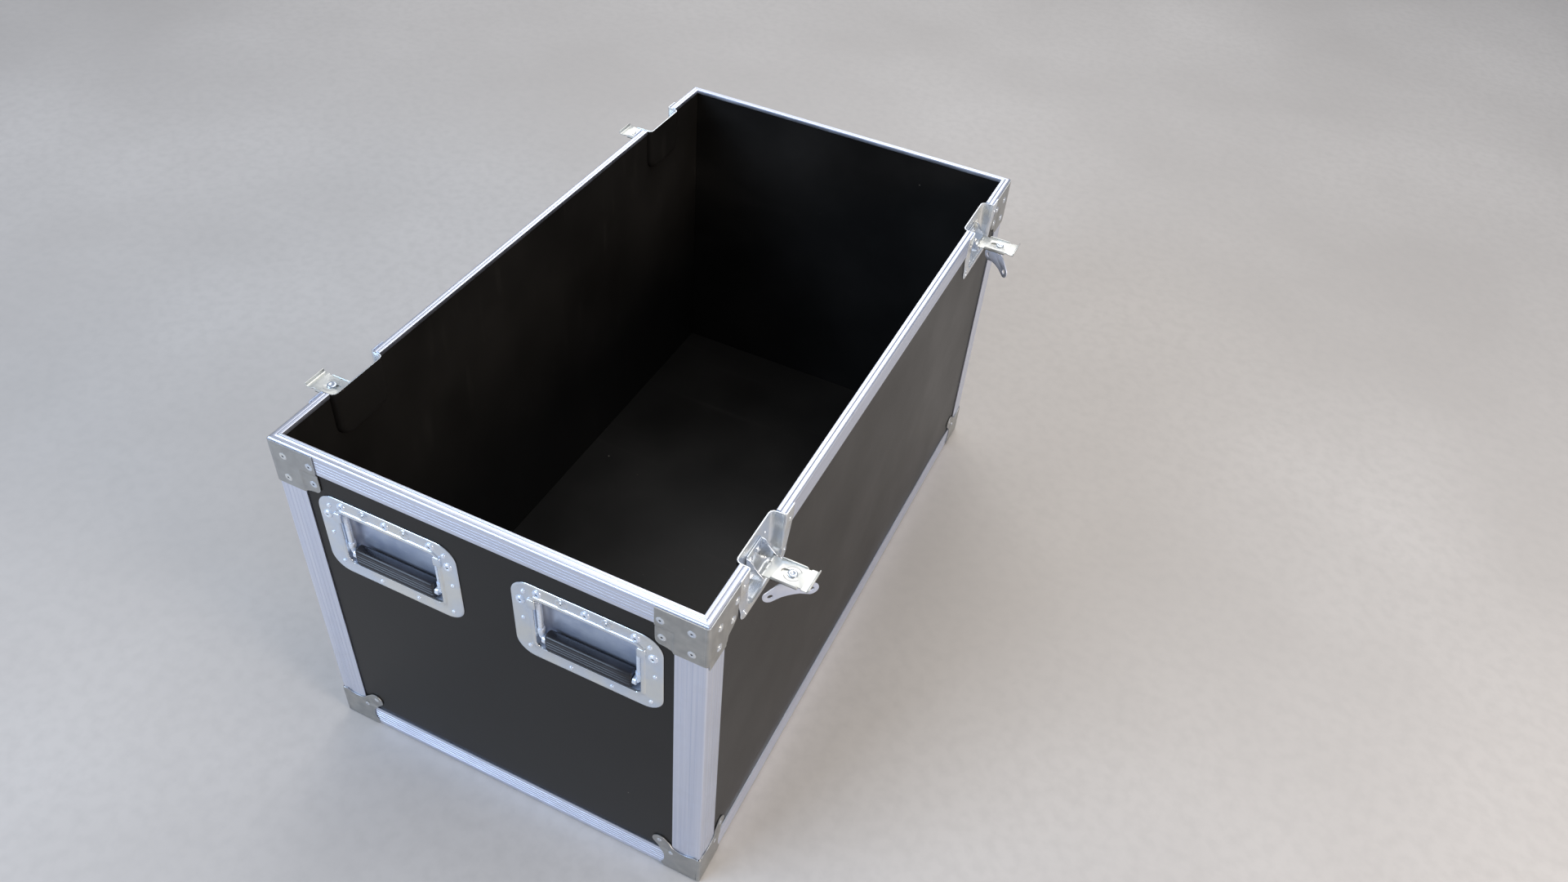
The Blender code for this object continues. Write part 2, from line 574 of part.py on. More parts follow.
def main():
    clear_scene()
    laminate = material("black_laminate", (0.045, 0.042, 0.040), 0.45, 0.0)
    aluminium = material("satin_aluminium", (0.78, 0.79, 0.82), 0.35, 1.0)
    zinc = material("zinc_plate", (0.62, 0.64, 0.67), 0.32, 1.0)
    steel = material("bright_steel", (0.66, 0.70, 0.78), 0.25, 1.0)
    rubber = material("black_grip", (0.035, 0.035, 0.045), 0.50, 0.0)
    make_panels(laminate)
    make_posts(aluminium)
    make_bottom_edging(aluminium)
    make_rim(aluminium)
    make_caps(zinc)
    make_braces(zinc)
    make_handles(zinc, steel, rubber)
    make_latches(zinc)


main()
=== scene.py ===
"""Looks of the open equipment case: extruded edging, pressed and riveted steel, recessed handles and
butterfly latches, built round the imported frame."""
import json
import math

import bmesh
import bpy
from mathutils import Matrix, Vector


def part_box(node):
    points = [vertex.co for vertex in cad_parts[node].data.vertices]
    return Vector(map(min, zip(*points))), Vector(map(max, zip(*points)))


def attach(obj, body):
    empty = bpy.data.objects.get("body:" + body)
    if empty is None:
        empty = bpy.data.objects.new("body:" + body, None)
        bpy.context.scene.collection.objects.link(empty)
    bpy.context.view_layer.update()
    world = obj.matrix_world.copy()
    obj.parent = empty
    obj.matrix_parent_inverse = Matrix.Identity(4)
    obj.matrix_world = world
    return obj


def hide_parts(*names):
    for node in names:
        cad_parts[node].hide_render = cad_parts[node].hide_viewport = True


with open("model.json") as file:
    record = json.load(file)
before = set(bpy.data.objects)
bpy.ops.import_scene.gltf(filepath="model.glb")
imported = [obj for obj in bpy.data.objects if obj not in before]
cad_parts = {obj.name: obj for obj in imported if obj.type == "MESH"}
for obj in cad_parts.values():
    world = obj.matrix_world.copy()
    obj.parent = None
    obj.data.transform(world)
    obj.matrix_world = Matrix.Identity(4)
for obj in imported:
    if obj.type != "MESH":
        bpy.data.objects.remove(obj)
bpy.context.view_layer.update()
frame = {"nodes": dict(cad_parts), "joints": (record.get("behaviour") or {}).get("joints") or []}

MM = 0.001
JOINTS = {joint["name"]: joint for joint in frame["joints"]}

# ---- sizes read from the frame ----
RIM_LOW, RIM_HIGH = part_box("rim_front")
HALF_W = RIM_HIGH.x
HALF_D = -RIM_LOW.y
TOP_Z = RIM_HIGH.z
RIM_LEG = RIM_HIGH.z - RIM_LOW.z
BASE_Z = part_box("bottom_edge_front")[0].z
EDGE_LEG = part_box("bottom_edge_front")[1].z - BASE_Z
RIM_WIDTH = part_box("rim_right")[1].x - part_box("rim_right")[0].x
SKIN = 1.2 * MM            # wall of the edging and of the latch parts
CORNERS = (("back_right", 1, 1, 0), ("back_left", -1, 1, 90), ("front_left", -1, -1, 180),
           ("front_right", 1, -1, 270))
SMOOTH_ANGLE = math.radians(38)


# ---- materials ----
class Nodes:
    """A small helper that builds one node material."""

    def __init__(self, name, colour, roughness, metallic, **fixed):
        self.material = bpy.data.materials.new(name)
        self.material.use_nodes = True
        self.tree = self.material.node_tree
        self.shader = self.tree.nodes["Principled BSDF"]
        self.shader.inputs["Base Color"].default_value = (*colour, 1.0)
        self.shader.inputs["Roughness"].default_value = roughness
        self.shader.inputs["Metallic"].default_value = metallic
        for socket, value in fixed.items():
            self.shader.inputs[socket].default_value = value
        self.coords = self.node("TexCoord")

    def node(self, kind):
        return self.tree.nodes.new("ShaderNode" + kind)

    def link(self, output, socket):
        self.tree.links.new(output, socket)

    def place(self, scale, source="Object"):
        mapping = self.node("Mapping")
        mapping.inputs["Scale"].default_value = scale
        self.link(self.coords.outputs[source], mapping.inputs["Vector"])
        return mapping.outputs["Vector"]

    def noise(self, scale, detail, vector=None):
        node = self.node("TexNoise")
        node.inputs["Scale"].default_value = scale
        node.inputs["Detail"].default_value = detail
        self.link(vector or self.coords.outputs["Object"], node.inputs["Vector"])
        return node.outputs["Fac"]

    def cells(self, scale):
        node = self.node("TexVoronoi")
        node.inputs["Scale"].default_value = scale
        self.link(self.coords.outputs["Object"], node.inputs["Vector"])
        return node.outputs["Distance"]

    def spread(self, value, low, high, to_low, to_high):
        node = self.node("MapRange")
        for socket, number in zip(("From Min", "From Max", "To Min", "To Max"), (low, high, to_low, to_high)):
            node.inputs[socket].default_value = number
        self.link(value, node.inputs["Value"])
        return node.outputs["Result"]

    def mix(self, factor, first, second):
        node = self.node("Mix")
        node.data_type = "RGBA"
        for socket, value in (("A", first), ("B", second)):
            target = [s for s in node.inputs if s.name == socket and s.type == "RGBA"][0]
            if isinstance(value, tuple):
                target.default_value = (*value, 1.0)
            else:
                self.link(value, target)
        self.link(factor, node.inputs[0])
        return [s for s in node.outputs if s.type == "RGBA"][0]

    def tones(self, value, low, high, first, second):
        return self.mix(self.spread(value, low, high, 0.0, 1.0), first, second)

    def add(self, first, second, operation="ADD"):
        node = self.node("Math")
        node.operation = operation
        self.link(first, node.inputs[0])
        if isinstance(second, float):
            node.inputs[1].default_value = second
        else:
            self.link(second, node.inputs[1])
        return node.outputs[0]

    def edge_wear_and_sheen(self, radius):
        """About 1 at sharp outer edges and 0 elsewhere."""
        bevel = self.node("Bevel")
        bevel.inputs["Radius"].default_value = radius
        geometry = self.node("NewGeometry")
        dot = self.node("VectorMath")
        dot.operation = "DOT_PRODUCT"
        self.link(bevel.outputs[0], dot.inputs[0])
        self.link(geometry.outputs["Normal"], dot.inputs[1])
        return self.spread(dot.outputs["Value"], 0.98, 0.80, 0.0, 1.0)

    def bump(self, height, strength, distance):
        node = self.node("Bump")
        node.inputs["Strength"].default_value = strength
        node.inputs["Distance"].default_value = distance
        self.link(height, node.inputs["Height"])
        self.link(node.outputs["Normal"], self.shader.inputs["Normal"])

    def colour(self, output):
        self.link(output, self.shader.inputs["Base Color"])

    def roughness(self, output):
        self.link(output, self.shader.inputs["Roughness"])


def extruded_aluminium():
    """Fine die lines along the length, which the pieces carry as their U coordinate in metres."""
    m = Nodes("satin_aluminium", (0.83, 0.85, 0.90), 0.34, 1.0)
    lines = m.noise(1.0, 3.0, m.place((9.0, 2600.0, 1.0), "UV"))
    broad = m.noise(1.0, 2.0, m.place((3.0, 260.0, 1.0), "UV"))
    smudge = m.noise(22.0, 4.0)
    # painted reflection: these tones are tinted blue to stand for the bluish window light that the edging
    # reflects
    shade = m.tones(broad, 0.35, 0.65, (0.70, 0.75, 0.89), (0.80, 0.84, 0.96))
    m.colour(m.mix(m.spread(smudge, 0.56, 0.75, 0.0, 0.35), shade, (0.66, 0.68, 0.74)))
    rough = m.add(m.spread(lines, 0.3, 0.7, 0.30, 0.42), m.spread(smudge, 0.45, 0.75, 0.0, 0.10))
    m.roughness(rough)
    m.bump(lines, 0.12, 0.00002)
    return m.material


def matte_zinc():
    """Dull zinc plate with a soft mottle and brighter worn edges."""
    m = Nodes("matte_zinc", (0.56, 0.57, 0.58), 0.42, 1.0)
    mottle = m.noise(95.0, 5.0)
    cloud = m.noise(16.0, 3.0)
    grain = m.noise(1900.0, 2.0)
    base = m.tones(mottle, 0.35, 0.65, (0.40, 0.405, 0.40), (0.50, 0.50, 0.48))
    base = m.mix(m.spread(cloud, 0.4, 0.7, 0.0, 0.5), base, (0.47, 0.48, 0.49))
    m.colour(m.mix(m.edge_wear_and_sheen(0.0006), base, (0.80, 0.82, 0.84)))
    m.roughness(m.spread(mottle, 0.3, 0.7, 0.36, 0.50))
    m.bump(m.add(grain, mottle), 0.25, 0.00003)
    return m.material


def bright_zinc():
    """Bright passivated zinc: bluish, with faint straw coloured clouds."""
    m = Nodes("bright_zinc", (0.74, 0.77, 0.81), 0.24, 0.86)
    cloud = m.noise(26.0, 3.0)
    mottle = m.noise(160.0, 4.0)
    grain = m.noise(2400.0, 2.0)
    base = m.tones(cloud, 0.38, 0.62, (0.70, 0.77, 0.88), (0.80, 0.81, 0.79))
    base = m.mix(m.spread(mottle, 0.5, 0.8, 0.0, 0.4), base, (0.66, 0.70, 0.77))
    m.colour(m.mix(m.edge_wear_and_sheen(0.0005), base, (0.93, 0.95, 0.98)))
    m.roughness(m.spread(mottle, 0.3, 0.7, 0.21, 0.27))
    m.bump(m.add(grain, mottle), 0.20, 0.000005)
    return m.material


def pan_zinc():
    """The drawn recess of the handles: the same plating, duller and finely scratched."""
    m = Nodes("pan_zinc", (0.56, 0.62, 0.74), 0.40, 0.55)
    cloud = m.noise(34.0, 3.0)
    scratch_lines = m.noise(1.0, 3.0, m.place((60.0, 400.0, 1500.0)))
    base = m.tones(cloud, 0.38, 0.62, (0.46, 0.52, 0.66), (0.60, 0.65, 0.76))
    m.colour(m.mix(m.spread(scratch_lines, 0.60, 0.72, 0.0, 0.6), base, (0.82, 0.86, 0.92)))
    m.roughness(m.spread(cloud, 0.3, 0.7, 0.30, 0.44))
    m.bump(scratch_lines, 0.25, 0.00003)
    return m.material


def bright_rod():
    """Plated round bar, brighter and bluer than the pressings."""
    m = Nodes("bright_rod", (0.78, 0.84, 0.96), 0.26, 0.5)
    cloud = m.noise(60.0, 3.0)
    grain = m.noise(2200.0, 2.0)
    m.colour(m.tones(cloud, 0.38, 0.62, (0.76, 0.84, 0.97), (0.88, 0.92, 0.98)))
    m.roughness(m.spread(cloud, 0.3, 0.7, 0.22, 0.32))
    m.bump(m.add(grain, cloud), 0.2, 0.00001)
    return m.material


def cloudy_zinc(name, finish, cloud_scale, grain_scale, first, second, worn, rough):
    """Satin plating in soft clouds of two tones, worn brighter at its edges."""
    m = Nodes(name, *finish)
    cloud = m.noise(cloud_scale, 4.0)
    grain = m.noise(grain_scale, 2.0)
    m.colour(m.mix(m.edge_wear_and_sheen(0.0005), m.tones(cloud, 0.35, 0.65, first, second), worn))
    m.roughness(m.spread(cloud, 0.3, 0.7, *rough))
    m.bump(m.add(grain, cloud), 0.25, 0.00003)
    return m.material


def black_laminate():
    """Phenolic film on plywood: black, finely pebbled, with dust, faint rubs and a few light specks."""
    m = Nodes("black_laminate", (0.030, 0.028, 0.027), 0.42, 0.0, **{"Specular IOR Level": 0.24})
    pebble = m.noise(1150.0, 3.0)
    cloud = m.noise(7.0, 4.0)
    rub = m.noise(1.0, 4.0, m.place((3.0, 60.0, 9.0)))
    base = m.tones(cloud, 0.35, 0.70, (0.009, 0.0085, 0.008), (0.016, 0.015, 0.014))
    base = m.mix(m.spread(rub, 0.60, 0.82, 0.0, 0.35), base, (0.034, 0.032, 0.029))
    rare = m.spread(m.noise(5.0, 1.0), 0.60, 0.64, 0.0, 1.0)
    speck = m.add(m.spread(m.cells(34.0), 0.045, 0.03, 0.0, 0.7), rare, "MULTIPLY")
    m.colour(m.mix(speck, base, (0.30, 0.27, 0.23)))
    m.roughness(m.add(m.spread(cloud, 0.3, 0.7, 0.30, 0.40), m.spread(pebble, 0.3, 0.7, -0.03, 0.05)))
    m.bump(m.add(pebble, m.noise(260.0, 2.0)), 0.30, 0.00012)
    return m.material


def grip_plastic():
    """Moulded black grip with a fine matte texture, its edges painted lighter as a highlight."""
    m = Nodes("black_grip", (0.030, 0.030, 0.038), 0.42, 0.0)
    texture = m.noise(1500.0, 2.0)
    cloud = m.noise(40.0, 3.0)
    base = m.tones(cloud, 0.35, 0.65, (0.012, 0.012, 0.015), (0.024, 0.024, 0.030))
    # painted highlight: the lighter colour at the grip's edges stands for the sheen along its ridges
    m.colour(m.mix(m.edge_wear_and_sheen(0.0010), base, (0.060, 0.058, 0.060)))
    m.roughness(m.spread(cloud, 0.3, 0.7, 0.26, 0.38))
    m.bump(texture, 0.30, 0.00010)
    return m.material


def dark_hole():
    """The mandrel holes of the pop rivets, coloured dark as painted shade for deep hollows that are modelled
    as shallow cups.
    """
    m = Nodes("rivet_hole", (0.05, 0.05, 0.06), 0.6, 0.6)
    shade_mottle = m.noise(900.0, 2.0)
    m.colour(m.mix(shade_mottle, (0.03, 0.03, 0.035), (0.12, 0.12, 0.13)))
    m.bump(shade_mottle, 0.3, 0.0001)
    return m.material


ALUMINIUM = extruded_aluminium()
MATTE = matte_zinc()
BRIGHT = bright_zinc()
PAN = pan_zinc()
ROD = bright_rod()
# the latch arms' thicker plating is pale and warm
CREAM = cloudy_zinc("cream_zinc", ((0.78, 0.78, 0.74), 0.34, 0.8), 60.0, 2100.0, (0.72, 0.74, 0.72),
                    (0.80, 0.80, 0.75), (0.93, 0.93, 0.92), (0.28, 0.42))
# painted reflection: the wings' lavender tones stand for the bluish window light they face
LILAC = cloudy_zinc("lilac_zinc", ((0.66, 0.69, 0.80), 0.40, 0.6), 70.0, 2600.0, (0.66, 0.71, 0.86),
                    (0.75, 0.79, 0.90), (0.88, 0.90, 0.96), (0.34, 0.46))
LAMINATE = black_laminate()
GRIP = grip_plastic()
HOLE = dark_hole()


# ---- mesh helpers ----
def mm(points):
    """Points written in millimetres."""
    return [(a * MM, b * MM) for a, b in points]


def arc(cx, cy, radius, start, end, steps):
    angles = [math.radians(start + (end - start) * i / steps) for i in range(steps + 1)]
    return [(cx + radius * math.cos(a), cy + radius * math.sin(a)) for a in angles]


def circle(radius, steps, cx=0.0, cy=0.0):
    return arc(cx, cy, radius, 0, 360, steps)[:-1]


def rounded_rect(half, low, high, radius):
    """A rectangle across x = 0 with rounded corners."""
    side, low, high = half - radius, low + radius, high - radius
    quarters = ((side, low, -90), (side, high, 0), (-side, high, 90), (-side, low, 180))
    return [point for x, y, start in quarters for point in arc(x, y, radius, start, start + 90, 9)]


PLANES = {"xy": lambda a, b, c: (a, b, c), "xz": lambda a, b, c: (a, c, b), "yz": lambda a, b, c: (c, a, b)}


def flat(outline, holes=(), at=0.0, plane="xy"):
    """One flat sheet with holes."""
    place = PLANES[plane]
    bm = bmesh.new()
    for loop in (outline, *holes):
        verts = [bm.verts.new(place(a, b, at)) for a, b in loop]
        for first, second in zip(verts, verts[1:] + verts[:1]):
            bm.edges.new((first, second))
    bmesh.ops.triangle_fill(bm, use_beauty=True, use_dissolve=False, edges=bm.edges[:])
    return bm


def prism(outline, low, high, plane="xy", holes=()):
    place = PLANES[plane]
    bm = flat(outline, holes, low, plane)
    bmesh.ops.dissolve_limit(bm, angle_limit=0.001, verts=bm.verts[:], edges=bm.edges[:])
    lifted = bmesh.ops.extrude_face_region(bm, geom=bm.faces[:])["geom"]
    bmesh.ops.translate(bm, vec=Vector(place(0, 0, high - low)),
                        verts=[v for v in lifted if isinstance(v, bmesh.types.BMVert)])
    bmesh.ops.recalc_face_normals(bm, faces=bm.faces[:])
    return bm


def block(low, high):
    (x0, y0, z0), (x1, y1, z1) = low, high
    return prism([(x0, y0), (x1, y0), (x1, y1), (x0, y1)], z0, z1)


def gridded(bm, cuts_a, cuts_b, plane="xy"):
    """Cuts a flat sheet along lines, so that it can be pressed into shape."""
    place = PLANES[plane]
    for cuts, normal in ((cuts_a, place(1, 0, 0)), (cuts_b, place(0, 1, 0))):
        for value in cuts:
            spot = Vector(normal) * value
            bmesh.ops.bisect_plane(bm, geom=bm.verts[:] + bm.edges[:] + bm.faces[:], dist=1e-7, plane_co=spot,
                                   plane_no=normal)
    return bm


def steps_between(low, high, size):
    count = max(1, round((high - low) / size))
    return [low + (high - low) * i / count for i in range(1, count)]


def smooth_step(value, low, high):
    t = min(max((value - low) / (high - low), 0.0), 1.0)
    return t * t * (3 - 2 * t)


def new_object(name, data):
    obj = bpy.data.objects.new(name, data)
    bpy.context.scene.collection.objects.link(obj)
    return obj


def mesh_of(name, bm):
    mesh = bpy.data.meshes.new(name)
    bm.to_mesh(mesh)
    bm.free()
    return mesh


def scratch(bm):
    return new_object("work", mesh_of("work", bm))


def modified(obj):
    """What a scratch object shows through its modifiers. The object is removed."""
    bpy.context.view_layer.update()
    mesh = bpy.data.meshes.new_from_object(obj.evaluated_get(bpy.context.evaluated_depsgraph_get()))
    bm = bmesh.new()
    bm.from_mesh(mesh)
    bpy.data.objects.remove(obj, do_unlink=True)
    return bm


def turned_out(bm, score):
    """Makes the faces agree, and turns them all over if their scores sum to less than nothing."""
    bmesh.ops.recalc_face_normals(bm, faces=bm.faces[:])
    if sum(score(face) for face in bm.faces) < 0:
        bmesh.ops.reverse_faces(bm, faces=bm.faces[:])


def add_bevel(obj, width, segments=2, angle=35):
    bevel = obj.modifiers.new("edges", "BEVEL")
    bevel.width = width
    bevel.segments = segments
    bevel.limit_method = "ANGLE"
    bevel.angle_limit = math.radians(angle)
    bevel.use_clamp_overlap = True


def bevelled(bm, width, segments=2, angle=35):
    obj = scratch(bm)
    add_bevel(obj, width, segments, angle)
    return modified(obj)


def solid_sheet(bm, thickness, bevel=0.0):
    """Thickens an open sheet behind its faces and rounds its edges."""
    obj = scratch(bm)
    solidify = obj.modifiers.new("thickness", "SOLIDIFY")
    solidify.thickness = thickness
    solidify.offset = -1.0
    solidify.use_even_offset = True
    if bevel:
        add_bevel(obj, bevel)
    return modified(obj)


def without(first, second):
    """The first mesh with the second cut out of it."""
    obj, tool = scratch(first), scratch(second)
    cut = obj.modifiers.new("cut", "BOOLEAN")
    cut.operation = "DIFFERENCE"
    cut.object = tool
    bm = modified(obj)
    bpy.data.objects.remove(tool, do_unlink=True)
    return bm


def joined(parts):
    """Puts several meshes into one, keeping their material numbers and UVs."""
    out = bmesh.new()
    for part in parts:
        mesh = mesh_of("part", part)
        out.from_mesh(mesh)
        bpy.data.meshes.remove(mesh)
    return out


def moved(bm, matrix):
    bmesh.ops.transform(bm, matrix=matrix, verts=bm.verts[:])
    if matrix.determinant() < 0:
        bmesh.ops.reverse_faces(bm, faces=bm.faces[:])
    return bm


def loft(rings, closed=True, uv_scale=False):
    """Quads between matching rings of points, and those rings of vertices. With uv_scale, U is the run
    between rings and V the way round, both in metres."""
    bm = bmesh.new()
    layer = bm.loops.layers.uv.new("UVMap")
    made = [[bm.verts.new(p) for p in ring] for ring in rings]
    count = len(made[0])
    span = count if closed else count - 1
    around = [0.0]
    for i in range(count):
        around.append(around[-1] + (Vector(rings[0][(i + 1) % count]) - Vector(rings[0][i])).length)
    along = [0.0]
    for lower, upper in zip(rings, rings[1:]):
        along.append(along[-1] + (Vector(upper[0]) - Vector(lower[0])).length)
    for k, (lower, upper) in enumerate(zip(made, made[1:])):
        for i in range(span):
            j = (i + 1) % count
            face = bm.faces.new((lower[i], lower[j], upper[j], upper[i]))
            if uv_scale:
                for loop, uv in zip(face.loops, ((along[k], around[i]), (along[k], around[i + 1]),
                                                 (along[k + 1], around[i + 1]), (along[k + 1], around[i]))):
                    loop[layer].uv = uv
    return bm, made


def capped_loft(rings, uv_scale=False):
    bm, made = loft(rings, uv_scale=uv_scale)
    bm.faces.new(made[0])
    bm.faces.new(made[-1])
    bmesh.ops.recalc_face_normals(bm, faces=bm.faces[:])
    return bm


def extrusion(section, place_low, place_high):
    """A closed section run between two ends, with die lines along it and capped ends."""
    ends = [[place(a, b) for a, b in section] for place in (place_low, place_high)]
    return capped_loft(ends, uv_scale=True)


def lathe(profile, steps=20):
    """A round piece about Z from (radius, height) points, the first and last closed onto the axis."""
    angles = [2 * math.pi * i / steps for i in range(steps)]
    return capped_loft([[(r * math.cos(t), r * math.sin(t), h) for t in angles] for r, h in profile])


def tube(path, radius, steps):
    """A round bar along points in space."""
    points = [Vector(p) for p in path]
    rings = []
    side = None
    for i, point in enumerate(points):
        before = points[max(i - 1, 0)]
        after = points[min(i + 1, len(points) - 1)]
        along = (after - before).normalized()
        reference = Vector((0, 1, 0)) if side is None else side
        side = (reference - along * reference.dot(along)).normalized()
        other = along.cross(side)
        rings.append([point + (side * math.cos(t) + other * math.sin(t)) * radius
                      for t in (2 * math.pi * k / steps for k in range(steps))])
    return capped_loft(rings)


def stood(bm, direction, spot):
    """Stands a piece made along +Z on a spot, along a direction."""
    turn = Vector((0, 0, 1)).rotation_difference(Vector(direction))
    return moved(bm, Matrix.Translation(Vector(spot)) @ turn.to_matrix().to_4x4())


def dome_rivet(radius, height, hole=True, head=0):
    """Pop rivet head with its mandrel hole, standing on z = 0. head is its place among the materials."""
    r, h = radius, height
    rim = [(r * 1.02, -0.4 * MM), (r, 0.12 * h), (0.90 * r, 0.52 * h), (0.72 * r, 0.86 * h), (0.52 * r, h)]
    if hole:
        inner = [(0.40 * r, 0.97 * h), (0.33 * r, 0.80 * h), (0.30 * r, 0.35 * h), (0.02 * r, 0.30 * h)]
    else:
        inner = [(0.30 * r, 1.03 * h), (0.03 * r, 1.05 * h)]
    bm = lathe(rim + inner)
    for face in bm.faces:
        face.material_index = head
        middle = face.calc_center_median()
        # the hole's faces take the dark hole material: painted shade
        if hole and middle.xy.length < 0.31 * r and middle.z > 0.1 * h:
            face.material_index = 1
    return bm


def add_piece(name, parts, materials, body, nodes, matrix=None):
    """A finished piece in the frame: it rides on a body and stands for CAD nodes."""
    bm = joined(parts)
    if matrix is not None:
        moved(bm, matrix)
    bmesh.ops.remove_doubles(bm, verts=bm.verts[:], dist=1e-6)
    mesh = mesh_of(name, bm)
    for material in materials:
        mesh.materials.append(material)
    mesh.shade_smooth()
    mesh.set_sharp_from_angle(angle=SMOOTH_ANGLE)
    obj = new_object(name, mesh)
    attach(obj, body)
    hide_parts(*nodes)


def station(x, y, z, turn=0.0):
    return Matrix.Translation((x, y, z)) @ Matrix.Rotation(math.radians(turn), 4, "Z")


# ---- aluminium edging ----
GROOVE = 0.22 * MM         # depth of the fine grooves along the edging
GROOVE_W = 0.55 * MM
MITRE_GAP = 0.12 * MM


def grooved_line(start, stop, grooves):
    """Points along a face from start to stop as (distance, depth), with a fine groove at each place."""
    points = [(start, 0.0)]
    for place in grooves:
        half = GROOVE_W / 2
        points += [(place - half, 0.0), (place - half * 0.5, GROOVE), (place + half * 0.5, GROOVE),
                   (place + half, 0.0)]
    return points + [(stop, 0.0)]


def spaced(low, high, count):
    return [low + (high - low) * i / (count - 1) for i in range(count)]


def rim_section():
    """Rim edging as (distance in from the outer face, depth under the top)."""
    face = grooved_line(2.8 * MM, RIM_LEG, spaced(8.5 * MM, 20.5 * MM, 4))
    leg = [(g, depth) for depth, g in reversed(face)]
    shoulder_round = [(2.4 * MM - x, 1.0 * MM + 2.4 * MM - y) for x, y in arc(0, 0, 2.4 * MM, 15, 90, 5)]
    shoulder = mm([(4.7, 1.0), (4.95, 1.15), (5.2, 1.0), (5.55, 0.45), (5.8, 0.12), (6.1, 0.0)])
    tongue = mm([(7.3, 0.0), (7.5, 0.16), (7.7, 0.0)])
    inner = [(RIM_WIDTH - 0.9 * MM, 0.0), (RIM_WIDTH - 0.25 * MM, 0.28 * MM), (RIM_WIDTH, 0.95 * MM),
             (RIM_WIDTH, 5.0 * MM), (RIM_WIDTH - MM, 5.0 * MM), (RIM_WIDTH - MM, 2.2 * MM), (SKIN, 2.2 * MM),
             (SKIN, RIM_LEG)]
    return leg + shoulder_round + shoulder + tongue + inner


def rim_run(matrix, low, high, mitre_low=0, mitre_high=0):
    """A length of rim along Y on the +X side, before its matrix. A mitre end runs in at 45 degrees."""
    low_end = lambda i, d: (HALF_W - i, low + mitre_low * (i + MITRE_GAP), TOP_Z - d)
    high_end = lambda i, d: (HALF_W - i, high - mitre_high * (i + MITRE_GAP), TOP_Z - d)
    return moved(extrusion(rim_section(), low_end, high_end), matrix)


def front_run(turn):
    """The length across an end of the case, mitred at both corners."""
    low_end = lambda i, d: (-HALF_W + i + MITRE_GAP, -HALF_D + i, TOP_Z - d)
    high_end = lambda i, d: (HALF_W - i - MITRE_GAP, -HALF_D + i, TOP_Z - d)
    return moved(extrusion(rim_section(), low_end, high_end), Matrix.Rotation(turn, 4, "Z"))


def make_rims():
    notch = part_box("rim_right")[1].y
    stub_start = -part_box("rim_front")[1].y
    identity, half_turn = Matrix.Identity(4), Matrix.Rotation(math.pi, 4, "Z")
    for name, turn in (("rim_front", 0.0), ("rim_back", math.pi)):
        spin = Matrix.Rotation(turn, 4, "Z")
        right = rim_run(spin, -HALF_D, -stub_start, mitre_low=1)
        left = rim_run(spin @ half_turn, stub_start, HALF_D, mitre_high=1)
        parts = [front_run(turn), right, left]
        add_piece(name + "_edging", parts, [ALUMINIUM], "case", [name])
    for name, spin in (("rim_right", identity), ("rim_left", half_turn)):
        parts = [rim_run(spin, -notch, notch)]
        add_piece(name + "_edging", parts, [ALUMINIUM], "case", [name])


def angle_section(grooves):
    """Corner angle with its arris at the origin, its legs along -a and -b and grooves in both faces."""
    round_r = 2.2 * MM
    face = grooved_line(-EDGE_LEG, -round_r, grooves)
    first = [(a, -depth) for a, depth in face]
    corner = arc(-round_r, -round_r, round_r, 90, 0, 6)
    second = [(-depth, a) for a, depth in reversed(face)]
    inner = [(-SKIN, -EDGE_LEG), (-SKIN, -SKIN), (-EDGE_LEG, -SKIN)]
    return first + corner[1:-1] + second + inner


def make_posts():
    section = angle_section([-g for g in reversed(spaced(9.0 * MM, 25.0 * MM, 4))])
    low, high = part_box("post_back_right")[0].z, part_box("post_back_right")[1].z
    for corner, sx, sy, turn in CORNERS:
        bm = extrusion(section, lambda a, b: (a, b, low), lambda a, b: (a, b, high))
        add_piece(f"post_{corner}_edging", [bm], [ALUMINIUM], "case", [f"post_{corner}"],
                  station(sx * HALF_W, sy * HALF_D, 0.0, turn))


def make_bottom_edging():
    section = [(a, -b) for a, b in angle_section([-g for g in reversed(spaced(8.0 * MM, 26.0 * MM, 5))])]
    spots = (("front", 0.0, -HALF_D, 180), ("back", 0.0, HALF_D, 0), ("left", -HALF_W, 0.0, 90),
             ("right", HALF_W, 0.0, 270))
    for name, x, y, turn in spots:
        low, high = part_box(f"bottom_edge_{name}")
        half = (high.x - low.x if name in ("front", "back") else high.y - low.y) / 2
        bm = extrusion(section, lambda a, b: (-half, a, b), lambda a, b: (half, a, b))
        add_piece(f"bottom_{name}_edging", [bm], [ALUMINIUM], "case", [f"bottom_edge_{name}"],
                  station(x, y, BASE_Z, turn))


# ---- pressed corners ----
BRACE_TOP = TOP_Z - 3.1 * MM
BRACE_SIDE, SIDE_DROP = 57.0 * MM, 60.0 * MM     # the braces' side leaf, along the rim and down the post
BRACE_FRONT, FRONT_DROP = 52.0 * MM, 53.0 * MM   # and their front leaf
BRACE_RIVET_R, CAP_RIVET_R = 4.1 * MM, 2.6 * MM
OUT = 1.3 * MM             # outer face of the pressed steel, over the edging
ON_PANEL = 0.05 * MM       # and where it is pressed down onto the panel
SHEET = 1.0 * MM           # thickness of the pressed steel
SHEET_ROUND = 0.25 * MM    # and the rounding of its cut edges
BEND_START = -2.6 * MM     # where a leaf gives way to the rounded bend


def leaf_spot(along, a, b, height):
    """A leaf's point: a and b lie in the leaf and height stands out of it. along is 'x' or 'y' for the
    corner's own axis that the leaf runs along, and 'z' for the leaf underneath."""
    return {"y": (height, a, b), "x": (a, height, b), "z": (a, -b, -height)}[along]


def leaf_direction(along):
    return {"y": (1, 0, 0), "x": (0, 1, 0), "z": (0, 0, -1)}[along]


